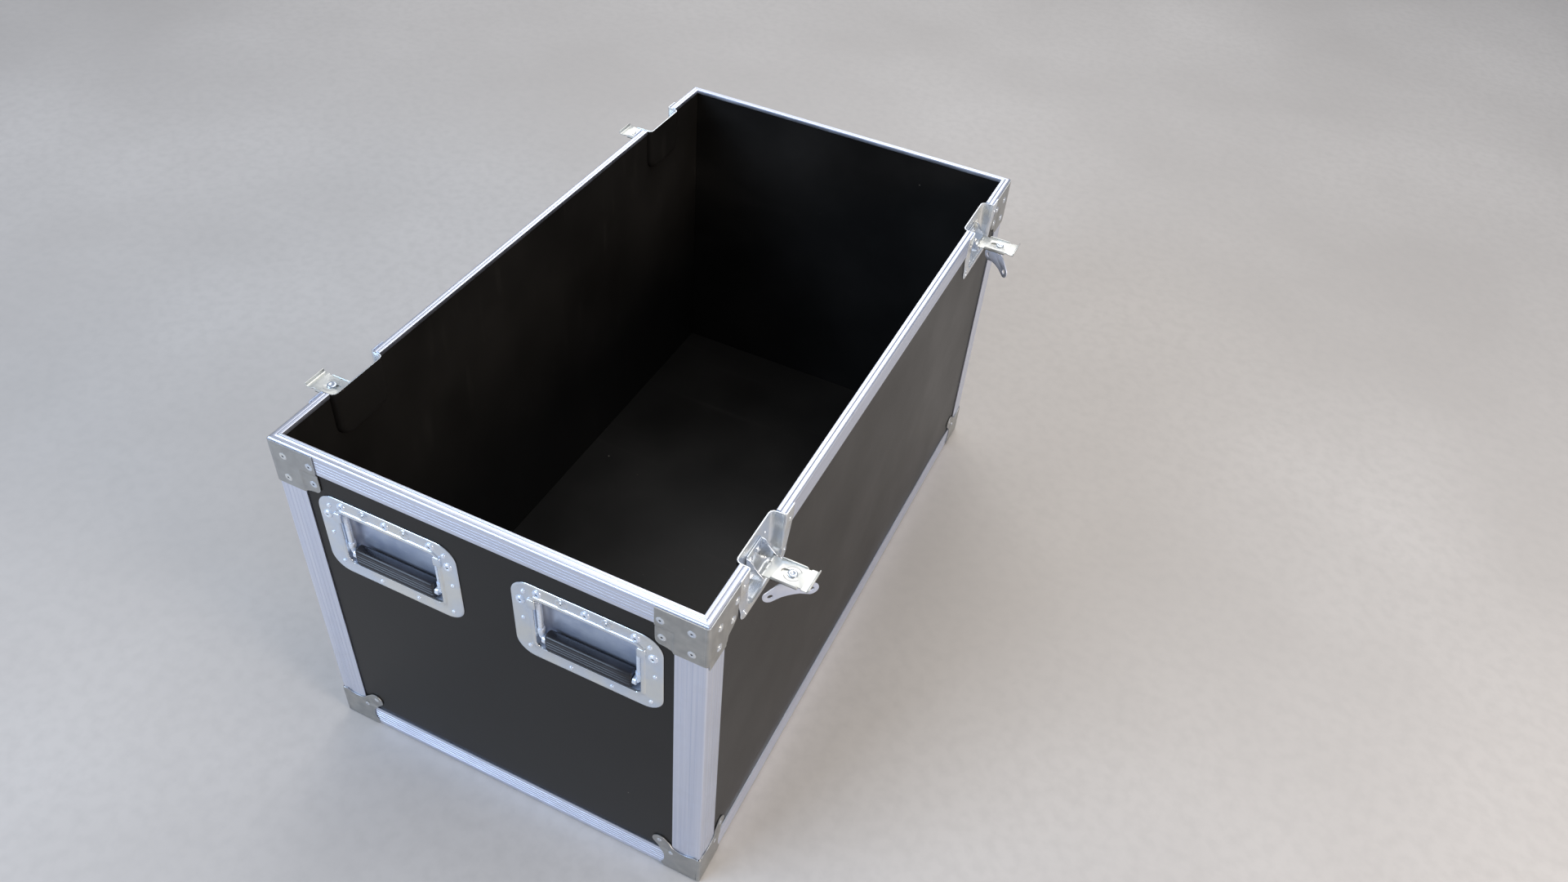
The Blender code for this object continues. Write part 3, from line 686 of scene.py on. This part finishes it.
def leaf(outline, lift, along, grid):
    """Grids and presses one leaf, and thickens it behind its outward face."""
    bm = flat(outline)
    xs, ys = [p[0] for p in outline], [p[1] for p in outline]
    gridded(bm, steps_between(min(xs), max(xs), grid), steps_between(min(ys), max(ys), grid))
    for vert in bm.verts:
        a, b = vert.co.x, vert.co.y
        vert.co = leaf_spot(along, a, b, lift(a, b))
    outward = Vector(leaf_direction(along))
    turned_out(bm, lambda face: face.normal.dot(outward))
    return solid_sheet(bm, SHEET, SHEET_ROUND)


def leaf_rivet(along, a, b, lift, radius, proud):
    head = dome_rivet(radius, proud, head=2)
    return stood(head, leaf_direction(along), leaf_spot(along, a, b, lift(a, b)))


def side_leaf_outline():
    """A top brace's leaf on the long side, along -a from the case's corner and down from the rim: wide
    over the rim and waisted where it reaches the post."""
    top, low, width = BRACE_TOP, BRACE_TOP - SIDE_DROP, BRACE_SIDE
    waist = EDGE_LEG + 1.5 * MM
    return ([(BEND_START, low), (BEND_START, top), (-width, top), (-width, low + 24 * MM)]
            + arc(-width + 10 * MM, low + 20 * MM, 9 * MM, 175, 250, 6)
            + [(-waist - 5 * MM, low + 7.0 * MM)]
            + arc(-waist - 1.5 * MM, low + 2.5 * MM, 2.5 * MM, 160, 270, 4))


def brace_lift(a, z):
    """The leaf lies over the edging and steps down onto the panel beyond it."""
    past_post = smooth_step(-a, EDGE_LEG + 0.4 * MM, EDGE_LEG + 2.6 * MM)
    under_rim = smooth_step(TOP_Z - z, RIM_LEG + 0.4 * MM, RIM_LEG + 2.6 * MM)
    return OUT - (OUT - ON_PANEL) * past_post * under_rim


def front_leaf_outline():
    top, low, width, radius = BRACE_TOP, BRACE_TOP - FRONT_DROP, BRACE_FRONT, 7 * MM
    return ([(BEND_START, low), (BEND_START, top), (-width, top)]
            + arc(-width + radius, low + radius + 3.5 * MM, radius, 180, 250, 5)
            + [(-EDGE_LEG - 8 * MM, low + 3.2 * MM), (-EDGE_LEG - 3 * MM, low + 1.4 * MM), (-EDGE_LEG, low)])


def arris(low, high):
    """The rounded bend between two leaves, whose outer faces stand OUT of the case."""
    radius = 3.0 * MM
    centre, start = OUT - radius, -2.7 * MM
    outline = ([(OUT, start)] + arc(centre, centre, radius, 0, 90, 8) + [(start, OUT), (start, OUT - SHEET)]
               + arc(centre, centre, radius - SHEET, 90, 0, 6) + [(OUT - SHEET, start)])
    return bevelled(prism(outline, low, high), SHEET_ROUND, 2, 50)


def make_braces():
    side_holes = [(-51.0, 20.0), (-47.0, 42.5), (-19.6, 22.2), (-19.0, 49.0)]
    front_holes = [(-46.0, 18.0), (-45.0, 42.0), (-15.5, 18.0), (-15.0, 46.0)]
    for corner, sx, sy, turn in CORNERS:
        side_is_y = corner in ("back_right", "front_left")
        parts = []
        for along in ("y", "x"):
            on_side = (along == "y") == side_is_y
            outline = side_leaf_outline() if on_side else front_leaf_outline()
            proud = 1.2 * MM if on_side else 0.48 * MM
            parts.append(leaf(outline, brace_lift, along, 1.6 * MM))
            for a, drop in mm(side_holes if on_side else front_holes):
                parts.append(leaf_rivet(along, a, TOP_Z - drop, brace_lift, BRACE_RIVET_R, proud))
        parts.append(arris(BRACE_TOP - FRONT_DROP, BRACE_TOP))
        add_piece(f"brace_{corner}_plate", parts, [MATTE, HOLE, BRIGHT], "case",
                  [f"brace_{corner}"], station(sx * HALF_W, sy * HALF_D, 0.0, turn))


def cap_outline():
    """One leaf of a bottom corner: a riveted lobe on the diagonal between two scallops."""
    first = ([(-3.2 * MM, 44.5 * MM)] + arc(-19.5 * MM, 66.0 * MM, 24.5 * MM, -58, -118, 8))
    lobe = arc(-47.0 * MM, 47.0 * MM, 9.4 * MM, 66, 204, 12)
    second = [(-b, -a) for a, b in reversed(first)]
    return [(-2.4 * MM, 2.4 * MM)] + first + lobe + second


def cap_lift(a, b):
    """Over the edging near the edges, and pressed onto the panel at the lobe."""
    reach = min(-a, b)
    return OUT - (OUT - ON_PANEL) * smooth_step(reach, EDGE_LEG + 0.6 * MM, EDGE_LEG + 3.4 * MM)


def make_caps():
    for corner, sx, sy, turn in CORNERS:
        parts = []
        for along in ("y", "x", "z"):
            parts.append(leaf(cap_outline(), cap_lift, along, 1.7 * MM))
            if along != "z":
                for place in (33.5 * MM, 48.0 * MM):
                    parts.append(leaf_rivet(along, -place, place, cap_lift, CAP_RIVET_R, 0.45 * MM))
        parts.append(cap_bends())
        add_piece(f"cap_{corner}_plate", parts, [MATTE, HOLE, BRIGHT], "case",
                  [f"cap_{corner}"], station(sx * HALF_W, sy * HALF_D, BASE_Z, turn))


def cap_bends():
    """The three rounded arrises that meet at the corner of the case."""
    run, wall, far, keep = 44.5 * MM, 1.15 * MM, 60 * MM, 3.0 * MM
    shell = bevelled(block((-run, -run, -OUT), (OUT, OUT, run)), 2.6 * MM, 5)
    for low, high in (((-far, -far, wall - OUT), (OUT - wall, OUT - wall, far)),
                      ((-far, -far, keep), (-keep, -keep, far)), ((-far, -keep, keep), (-keep, far, far)),
                      ((-keep, -far, keep), (far, -keep, far)), ((-far, -far, -far), (-keep, -keep, far))):
        shell = without(shell, block(low, high))
    return shell


# ---- recessed handles ----
BAIL_DROP = 51.0 * MM      # the grip's middle, below the hinge


def handle_dish_mesh():
    """The pressed dish, lofted through rounded rectangles: flange, raised frame, walls and pan. X runs
    along the flange, Z up and Y into the case, from the edging's face. A rise is out of it."""
    low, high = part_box("handle_left_dish")
    half_w, half_h = (high.x - low.x) / 2, (high.z - low.z) / 2

    def ring(half, top, bottom, radius, depth):
        return [(x, depth, z) for x, z in rounded_rect(half, bottom, top, radius)]

    def framed(grow, radius, depth):
        return ring(frame_w + grow, frame_top + grow, frame_low - grow, radius, depth)

    frame_w, frame_top, frame_low = 58.5 * MM, 36.5 * MM, -38.5 * MM
    face = 0.25 * MM
    rings = [ring(half_w - inset * MM, half_h - inset * MM, inset * MM - half_h, (21 - inset) * MM, depth)
             for inset, depth in ((0.0, 1.15 * MM), (0.0, 0.75 * MM), (0.5, face), (1.6, 0.0), (3.0, face))]
    rings.append(ring(frame_w + 6.0 * MM, frame_top + 4.0 * MM, frame_low - 3.4 * MM, 12.0 * MM, face))
    bead = len(rings)
    frame_rows = ((3.2, 0.1), (2.7, 0.8), (1.9, 1.35), (0.6, 1.5), (-0.8, 1.4), (-1.7, 0.9), (-2.0, 0.2))
    rings += [framed(step * MM, 8.0 * MM + step * MM, -rise * MM) for step, rise in frame_rows]
    for ring_points in rings[bead:]:
        for i, (x, rise, z) in enumerate(ring_points):
            ring_points[i] = (x, face + rise * smooth_step(z, frame_low - 1 * MM, frame_low + 7 * MM), z)
    wall_rows = ((-2.1, 0.8), (-2.3, 2.2), (-2.6, 5.0), (-3.2, 8.5), (-4.6, 11.6), (-6.8, 13.6),
                 (-10.0, 14.3))
    rings += [framed(step * MM, 6.5 * MM, depth * MM) for step, depth in wall_rows]
    rings.append(ring(30 * MM, 12 * MM, -14 * MM, 5 * MM, 14.5 * MM))
    bm, made = loft(rings)
    bm.faces.new(made[-1])
    turned_out(bm, lambda face: -face.normal.y if face.calc_center_median().z > half_h - 6 * MM else 0.0)
    for face in bm.faces:
        if face.calc_center_median().y > 1.9 * MM:
            face.material_index = 2
    return solid_sheet(bm, 1.0 * MM)


def emboss_ring(radius, rivet):
    """A round dished boss with a rivet in it, standing on z = 0."""
    r = radius
    profile = [(r * 1.05, -0.3 * MM), (r, 0.05 * MM), (0.88 * r, 0.75 * MM), (0.76 * r, 0.95 * MM),
               (0.62 * r, 0.60 * MM), (0.50 * r, 0.15 * MM), (0.02 * r, 0.10 * MM)]
    head = moved(dome_rivet(rivet, 0.8 * MM), Matrix.Translation((0, 0, 0.05 * MM)))
    return joined([lathe(profile, 28), head])


HANDLE_RIVETS = (  # along the flange, up from its middle, head radius in mm
    (-50.5, 44.0, 5.0), (0.5, 44.2, 5.0), (52.0, 44.0, 5.0), (-69.8, 26.0, 5.2), (69.8, 25.0, 5.2),
    (-66.0, 39.5, 2.6), (66.5, 39.0, 2.6), (-69.0, 0.5, 2.2), (71.5, -1.0, 2.2), (-19.5, -45.8, 2.2),
    (25.0, -45.8, 2.2), (-64.5, -39.0, 2.2), (67.0, -42.0, 2.2))


def knuckle(side):
    """The clinched strap that holds the bail's pivot, on the frame beside the recess."""
    strap = mm([(-4.6, -5.2), (-3.2, -6.4), (3.2, -6.4), (4.6, -5.2), (4.6, 5.2), (3.2, 6.4), (-3.2, 6.4),
                (-4.6, 5.2)])
    bm = bevelled(prism(strap, -1.7 * MM, 2.0 * MM, "xz"), 1.5 * MM, 4, 30)
    return moved(bm, Matrix.Translation((side * 57.8 * MM, 0, 27.0 * MM)))


def make_handle_dish(label, matrix):
    parts = [handle_dish_mesh(), knuckle(-1), knuckle(1)]
    for x, z, radius in HANDLE_RIVETS:
        head = dome_rivet(radius * MM, min(0.5 * radius, 1.9) * MM, hole=radius > 3.0, head=3)
        parts.append(stood(head, (0, -1, 0), (x * MM, 0.2 * MM, z * MM)))
    for x in (-25.0, 22.5):
        boss = emboss_ring(6.6 * MM, 2.6 * MM)
        parts.append(stood(boss, (0, -1, 0), (x * MM, 0.25 * MM, 44.4 * MM)))
    node = f"handle_{label}_dish"
    add_piece(f"{node}_pressing", parts, [BRIGHT, HOLE, PAN, ROD], "case", [node],
              matrix)


def make_bail(label, pivot):
    """The bent rod, with a collar at each end of the grip and a sleeve above each lower bend."""
    half, end, shoulder, bend = 53.0 * MM, 58.0 * MM, 3.4 * MM, 5.5 * MM
    top = [(half + shoulder + x, -shoulder + z) for x, z in arc(0, 0, shoulder, 90, 180, 5)]
    low = [(half - bend + x, bend - BAIL_DROP + z) for x, z in arc(0, 0, bend, 0, -90, 7)]
    right = [(end, 0.0)] + top + low
    path = right + [(-x, z) for x, z in reversed(right)]
    parts = [tube([(x, 0.0, z) for x, z in path], 3.0 * MM, 16)]
    collar = mm([(0.02, -2.2), (4.3, -2.2), (4.9, -1.6), (4.9, 1.6), (4.3, 2.2), (0.02, 2.2)])
    sleeve = mm([(0.02, -4), (3.5, -4), (3.9, -3.4), (3.9, 3.4), (3.5, 4), (0.02, 4)])
    for side in (-1, 1):
        parts.append(stood(lathe(collar, 24), (1, 0, 0), (side * 48.9 * MM, 0.0, -BAIL_DROP)))
        parts.append(stood(lathe(sleeve, 24), (0, 0, 1), (side * half, 0.0, -BAIL_DROP + 11.0 * MM)))
    node = f"handle_{label}_bail"
    add_piece(f"{node}_rod", parts, [ROD], f"handle_{label}", [node],
              Matrix.Translation(pivot))


def make_grip(label, pivot):
    """Ribbed grip: a rounded bar with ridges along its front, drawn in a little at its ends."""
    tall, thick, half = 22.0 * MM, 12.0 * MM, 46.5 * MM
    ridges, samples = 4, 56
    outline = []
    for i in range(1, samples):
        z = -tall / 2 + 3.6 * MM + (tall - 7.2 * MM) * i / samples
        wave = abs(math.sin(math.pi * ridges * i / samples)) ** 0.55
        outline.append((-thick / 2 + 1.9 * MM * (1 - wave), z))
    back = arc(thick / 2 - 4.0 * MM, tall / 2 - 4.0 * MM, 4.0 * MM, 90, 0, 6)
    front_top = arc(-thick / 2 + 3.6 * MM, tall / 2 - 3.6 * MM, 3.6 * MM, 178, 90, 5)
    low_back = [(y, -z) for y, z in reversed(back)]
    front_low = [(y, -z) for y, z in reversed(front_top)]
    outline += front_top + back + low_back + front_low
    stations = [(-1.0, 0.80), (-0.985, 0.93), (-0.955, 1.0), (-0.5, 1.0), (0.0, 1.0), (0.5, 1.0),
                (0.955, 1.0), (0.985, 0.93), (1.0, 0.80)]
    bm = capped_loft([[(s * half, y * k, -BAIL_DROP + z * (0.5 + k / 2)) for y, z in outline]
                      for s, k in stations])
    node = f"handle_{label}_grip"
    add_piece(f"{node}_moulding", [bm], [GRIP], f"handle_{label}", [node],
              Matrix.Translation(pivot))


def make_handles():
    for label in ("left", "right"):
        low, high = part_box(f"handle_{label}_dish")
        middle = (low + high) / 2
        pivot = Vector(JOINTS[f"handle_{label}_hinge"]["pos_m"])
        make_handle_dish(label, station(middle.x, -HALF_D, middle.z))
        make_bail(label, pivot)
        make_grip(label, pivot)


# ---- butterfly latches ----
ARM_HALF = 13.6 * MM       # half widths of the arm's channel and of the bracket
BRACKET_HALF = 15.8 * MM
KNUCKLE_R = 3.0 * MM
SPINDLE_X = 24.2 * MM      # the spindle, out from the arm's hinge
BOWL_X = -13.45 * MM       # floor of the dish behind the bracket


def latch_ring(half_top, half_low, bottom, radius, depth, top):
    """An open U at one depth of the sheet, from one top end to the other."""
    shoulder = 32.0 * MM
    right = ([(half_top, top), (half_top, -shoulder * 0.5), (half_top, -shoulder)]
             + arc(half_low - radius, bottom + radius, radius, 12, -90, 8))
    points = right + [(-y, z) for y, z in reversed(right)]
    return [(depth, y, z) for y, z in points]


def latch_dish_mesh():
    """Lower half of the split dish, X out of the case from the edging's face and Z up from the rim. Each
    row is half width at the top and low down, bottom, corner radius and depth, from flange to bowl."""
    top = -1.0 * MM
    rows = ((54.5, 47.6, -68.5, 12.0, 0.15), (54.5, 47.6, -68.5, 12.0, 0.75), (54.0, 47.1, -68.0, 11.7, 1.25),
            (53.0, 46.1, -67.2, 11.2, 1.42), (50.0, 43.5, -65.8, 10.6, 1.42), (42.0, 41.5, -64.0, 12.0, 1.42),
            (38.4, 38.4, -61.4, 16.0, 1.42), (37.4, 37.4, -60.4, 15.6, 1.25), (36.6, 36.6, -59.6, 15.2, 0.55),
            (36.1, 36.1, -59.1, 14.9, -0.8), (35.9, 35.9, -58.9, 14.8, -3.5), (35.6, 35.6, -58.6, 14.6, -8.5),
            (34.9, 34.9, -57.9, 14.0, -11.2), (33.2, 33.2, -56.2, 12.6, -13.0),
            (30.6, 30.6, -53.6, 11.0, -13.7))
    rings = [latch_ring(*(value * MM for value in row), top) for row in rows]
    drop = 1.35 * MM
    for ring in rings[:8]:
        for i, (x, y, z) in enumerate(ring):
            ring[i] = (x - drop * smooth_step(-z, RIM_LEG + 0.3 * MM, RIM_LEG + 3.2 * MM), y, z)
    for ring in rings[:5]:
        for i, (x, y, z) in enumerate(ring):
            scallop = (-63.0 * MM - z) * 0.9 * (1 - smooth_step(abs(y), 12 * MM, 32 * MM))
            ring[i] = (x, y, z + max(scallop, 0.0))
    bm, made = loft(rings, closed=False)
    bm.faces.new(made[-1])
    turned_out(bm, lambda face: face.normal.x * face.calc_area())
    step_cuts = [-RIM_LEG - below * MM for below in (0.3, 1.6, 3.2)]
    gridded(bm, (), step_cuts + steps_between(-60 * MM, -1 * MM, 4 * MM), "xz")
    return blackened_back(solid_sheet(bm, 1.1 * MM, 0.2 * MM))


def blackened_back(bm):
    """The side of the bowl that shows inside the case carries the interior's black."""
    middle = Vector((-4.0 * MM, 0.0, -25.0 * MM))
    for face in bm.faces:
        spot = face.calc_center_median()
        if spot.x < -1.5 * MM and face.normal.dot(spot - middle) > 0 and abs(face.normal.z) < 0.9:
            face.material_index = 2
    return bm


def make_latch_dish(node, matrix):
    parts = [latch_dish_mesh()]
    rivets = [(46.5, -15.0, 1.42, 3.0), (-46.5, -15.0, 1.42, 3.0), (42.5, -54.5, 0.07, 2.2),
              (38.0, -62.8, 0.07, 2.2), (-42.5, -54.5, 0.07, 2.2), (-38.0, -62.8, 0.07, 2.2)]
    for y, z, face, radius in rivets:
        parts.append(stood(dome_rivet(radius * MM, 0.9 * MM), (1, 0, 0), (face * MM, y * MM, z * MM)))
    for side in (-1, 1):
        dimple = dome_rivet(2.6 * MM, 0.9 * MM, hole=False)
        parts.append(stood(dimple, (1, 0, 0), (-13.75 * MM, side * 25 * MM, -22 * MM)))
    add_piece(f"{node}_pressing", parts, [BRIGHT, HOLE, LAMINATE], "case", [node],
              matrix)


def make_bracket(node, matrix, hinge):
    """Back plate, two shaped cheeks, rivets and the hinge pin with its peened ends."""
    half, back = BRACKET_HALF, BOWL_X
    plate = [(-half, -42 * MM), (half, -42 * MM), (half, -17.5 * MM), (half - 1.5 * MM, -16 * MM),
             (1.5 * MM - half, -16 * MM), (-half, -17.5 * MM)]
    parts = [bevelled(prism(plate, back, back + SKIN, "yz"), 0.3 * MM)]
    cheek = ([(back, -17.5 * MM), (back, -42 * MM), (-9 * MM, -41.8 * MM)]
             + arc(hinge.x, hinge.z, KNUCKLE_R, -90, 70, 8) + mm([(-2.5, -27.0), (-8.0, -19.0)]))
    for side in (-1, 1):
        faces = sorted((side * half, side * (half - SKIN)))
        parts.append(bevelled(prism(cheek, *faces, "xz"), 0.3 * MM))
    pin = mm([(0.02, -16.0), (1.5, -16.0), (2.1, -15.7), (1.4, -14.4), (1.4, 14.4), (2.1, 15.7), (1.5, 16.0),
              (0.02, 16.0)])
    parts.append(stood(lathe(pin, 18), (0, 1, 0), hinge))
    for side in (-1, 1):
        head = dome_rivet(3.9 * MM, 1.6 * MM)
        parts.append(stood(head, (1, 0, 0), (back + SKIN, side * 7.5 * MM, -26.5 * MM)))
    add_piece(f"{node}_pressing", parts, [BRIGHT, HOLE], "case", [node], matrix)


def make_arm(node, matrix):
    """Rolled knuckles and channel, seen from its hinge axis with X along the arm."""
    half, length, low = ARM_HALF, 34.5 * MM, 1.8 * MM
    parts = []
    for start, stop in ((-half, -5.2 * MM), (-4.6 * MM, 4.6 * MM), (5.2 * MM, half)):
        roll = prism(circle(KNUCKLE_R, 28), start, stop, "xz", [circle(1.7 * MM, 20)])
        parts.append(bevelled(roll, SHEET_ROUND, 2, 50))
    outline = [(0.5 * MM, -half), (length, -half), (length, half), (0.5 * MM, half)]
    floor = prism(outline, low, low + SKIN, "xy", [circle(3.3 * MM, 24, SPINDLE_X)])
    parts.append(bevelled(floor, 0.2 * MM))
    cheek = [(6.5 * MM, low), (8.5 * MM, low + 4.0 * MM), (length - 2 * MM, low + 4.0 * MM),
             (length, low + 2.8 * MM), (length, low)]
    for side in (-1, 1):
        faces = sorted((side * half, side * (half - SKIN)))
        parts.append(bevelled(prism(cheek, *faces, "xz"), SHEET_ROUND))
    add_piece(f"{node}_channel", parts, [CREAM], node, [node], matrix)


def make_hook_plate(node, matrix):
    """Plate with a stamped arc at each end of the slot, and a rolled-up hook."""
    low, skin, half, neck = 3.3 * MM, SKIN, 12.1 * MM, 37.5 * MM
    wide, tip, lip, roll = ARM_HALF, 46.45 * MM, 4.8 * MM, 3.0 * MM
    outline = ([(8.5 * MM, -half)] + arc(neck + 1.5 * MM, -wide + 1.5 * MM, 1.5 * MM, 180, 270, 3)
               + [(tip - 1.5 * MM, -wide), (tip - 1.5 * MM, wide)]
               + arc(neck + 1.5 * MM, wide - 1.5 * MM, 1.5 * MM, 90, 180, 3) + [(8.5 * MM, half)])
    slot_half = 3.3 * MM
    slot = (arc(SPINDLE_X + 1.5 * MM, 0, slot_half, -90, 90, 8)
            + arc(SPINDLE_X - 8.0 * MM, 0, slot_half, 90, 270, 8))
    parts = [bevelled(prism(outline, low, low + skin, "xy", [slot]), SHEET_ROUND)]
    bend = (arc(tip - roll, low + roll, roll, -90, 0, 8) + [(tip, low + lip - 0.7 * MM)]
            + arc(tip - skin / 2, low + lip - skin / 2, skin / 2, 0, 180, 6) + [(tip - skin, low + roll)]
            + arc(tip - roll, low + roll, 1.8 * MM, 0, -90, 6))
    parts.append(bevelled(prism(bend, -wide, wide, "xz"), 0.2 * MM, 2, 50))
    for flip in (1, -1):
        curve = [(SPINDLE_X + flip * x, flip * y, low + skin - 0.45 * MM)
                 for x, y in arc(0, 0, 8.6 * MM, 35, 150, 14)]
        mark = tube(curve, 0.6 * MM, 8)
        for face in mark.faces:
            face.material_index = 1
        parts.append(mark)
    add_piece(f"{node}_plate", parts, [CREAM, MATTE], node, [node], matrix)


def make_spindle(node, matrix):
    """Peened spindle head with a dimple, stem, cam disc and the wing's pin."""
    stem = [(0.02, -5.2), (2.4, -5.2), (3.0, -4.8), (3.0, -0.1)]
    disc = [(7.6, -0.1), (8.0, 0.2), (8.0, 1.2), (7.6, 1.5), (3.0, 1.5)]
    head = [(3.0, 4.7), (4.8, 4.8), (4.8, 5.2), (4.2, 5.8), (3.0, 6.0), (2.2, 5.85), (1.4, 5.2), (0.02, 5.1)]
    pin = [(0.02, -7.6), (0.9, -7.5), (1.0, -7.2), (1.0, 7.2), (0.9, 7.5), (0.02, 7.6)]
    parts = [lathe(mm(stem + disc + head), 28), stood(lathe(mm(pin), 14), (1, 0, 0), (0, 0, -3.2 * MM))]
    add_piece(f"{node}_turned", parts, [BRIGHT], node, [node], matrix)


def make_wing(node, matrix):
    """Butterfly wing with two holed lobes, a waist between them and rolled knuckles at its hinge."""
    reach, lobe, drop = 19.9 * MM, 7.5 * MM, 18.2 * MM
    near, far = 4.0, 8.5   # where a knuckle starts and stops, in mm
    right = (mm([(near, -4.75), (near, -0.2), (far, -0.2), (9.2, -2.4), (12.5, -3.3), (14.6, -4.8)])
             + arc(reach, -drop, lobe, 40, -98, 16) + mm([(9.0, -21.8), (3.0, -21.1)]))
    outline = right + [(-x, z) for x, z in reversed(right)]
    holes = [circle(2.7 * MM, 24, side * reach, -drop) for side in (-1, 1)]
    parts = [bevelled(prism(outline, -0.75 * MM, 0.75 * MM, "xz", holes), 0.3 * MM)]
    for side in (-1, 1):
        ends = sorted((side * near * MM, side * far * MM))
        roll = prism(circle(2.35 * MM, 22), *ends, "yz", [circle(1.3 * MM, 16)])
        parts.append(bevelled(roll, SHEET_ROUND, 2, 50))
    add_piece(f"{node}_plate", parts, [LILAC], node, [node], matrix)


def make_latches():
    for side_name, side, turn in (("right", 1, 0), ("left", -1, 180)):
        for end_name in ("front", "back"):
            name = f"latch_{side_name}_{end_name}"
            low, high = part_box(f"{name}_dish")
            base = station(side * HALF_W, (low.y + high.y) / 2, TOP_Z, turn)
            hinge = Vector(JOINTS[f"{name}_arm_hinge"]["pos_m"])
            spindle = Vector(JOINTS[f"{name}_spindle_turn"]["pos_m"])
            fold = JOINTS[f"{name}_wing_fold"]
            hand = -side if end_name == "back" else side
            twist = Vector(fold["axis"]) * -hand * side
            wing_turn = math.degrees(math.atan2(twist.y, twist.x)) + turn
            make_latch_dish(f"{name}_dish", base)
            make_bracket(f"{name}_bracket", base, base.inverted() @ hinge)
            make_arm(f"{name}_arm", station(*hinge, turn))
            make_hook_plate(f"{name}_hook_plate", station(*hinge, turn))
            make_spindle(f"{name}_spindle", station(*spindle, wing_turn))
            make_wing(f"{name}_wing", station(*fold["pos_m"], wing_turn))


# ---- the carried panels ----
def dress_panels():
    for name, obj in frame["nodes"].items():
        if name.endswith("_panel"):
            for place in range(len(obj.data.materials)):
                obj.data.materials[place] = LAMINATE


# ---- stage, light and camera ----
def area_light(name, place, target, size, power, colour):
    data = bpy.data.lights.new(name, "AREA")
    data.shape = "RECTANGLE"
    data.size, data.size_y = size
    data.energy = power
    data.color = colour
    obj = new_object(name, data)
    obj.location = place
    obj.rotation_euler = (Vector(target) - Vector(place)).to_track_quat("-Z", "Y").to_euler()


def make_stage():
    m = Nodes("pale_floor", (0.56, 0.53, 0.50), 0.7, 0.0)
    cloud = m.noise(1.3, 4.0)
    grit = m.noise(60.0, 3.0)
    shade = m.tones(cloud, 0.35, 0.65, (0.50, 0.475, 0.45), (0.58, 0.555, 0.53))
    m.colour(m.mix(m.spread(grit, 0.4, 0.7, 0.0, 0.35), shade, (0.46, 0.44, 0.42)))
    m.roughness(m.spread(cloud, 0.3, 0.7, 0.55, 0.75))
    bm = bmesh.new()
    bmesh.ops.create_grid(bm, x_segments=4, y_segments=4, size=12.0)
    floor = new_object("floor", mesh_of("floor", bm))
    floor.data.materials.append(m.material)


def make_light():
    world = bpy.data.worlds.new("soft_room")
    bpy.context.scene.world = world
    world.use_nodes = True
    background = world.node_tree.nodes["Background"]
    background.inputs["Color"].default_value = (0.84, 0.89, 1.0, 1.0)
    background.inputs["Strength"].default_value = 0.38
    middle = (0.0, 0.0, 0.2)
    area_light("window", (-1.7, -2.7, 2.0), middle, (2.2, 1.6), 84.0, (0.60, 0.76, 1.0))
    area_light("ceiling", (0.3, 0.8, 3.0), middle, (2.6, 2.6), 36.0, (1.0, 0.98, 0.95))
    area_light("far_wall", (-1.0, 3.2, 2.7), (0.0, 0.0, 0.4), (3.2, 2.0), 34.0, (1.0, 0.98, 0.96))
    area_light("warm_side", (2.6, -0.6, 1.5), (0.5, -0.1, 0.1), (1.2, 0.9), 38.0, (1.0, 0.87, 0.74))


def make_camera():
    """Above and to the right of the near end, tipped down and rolled a little."""
    turn, tilt, roll = -0.3787, -0.7497, 0.0957
    forward = Vector((math.sin(turn) * math.cos(tilt), math.cos(turn) * math.cos(tilt), math.sin(tilt)))
    level = Vector((math.cos(turn), -math.sin(turn), 0.0))
    upright = level.cross(forward)
    right = level * math.cos(roll) + upright * math.sin(roll)
    up = upright * math.cos(roll) - level * math.sin(roll)
    data = bpy.data.cameras.new("camera")
    data.sensor_width = 36.0
    data.lens = 27.356
    data.clip_start = 0.05
    camera = new_object("camera", data)
    rotation = Matrix((right, up, -forward)).transposed().to_4x4()
    camera.matrix_world = Matrix.Translation((0.5035, -0.9688, 1.2275 + BASE_Z)) @ rotation
    bpy.context.scene.camera = camera


bpy.context.scene.view_settings.view_transform = "Standard"
make_camera()
make_stage()
make_light()
dress_panels()
make_rims()
make_posts()
make_bottom_edging()
make_braces()
make_caps()
make_handles()
make_latches()
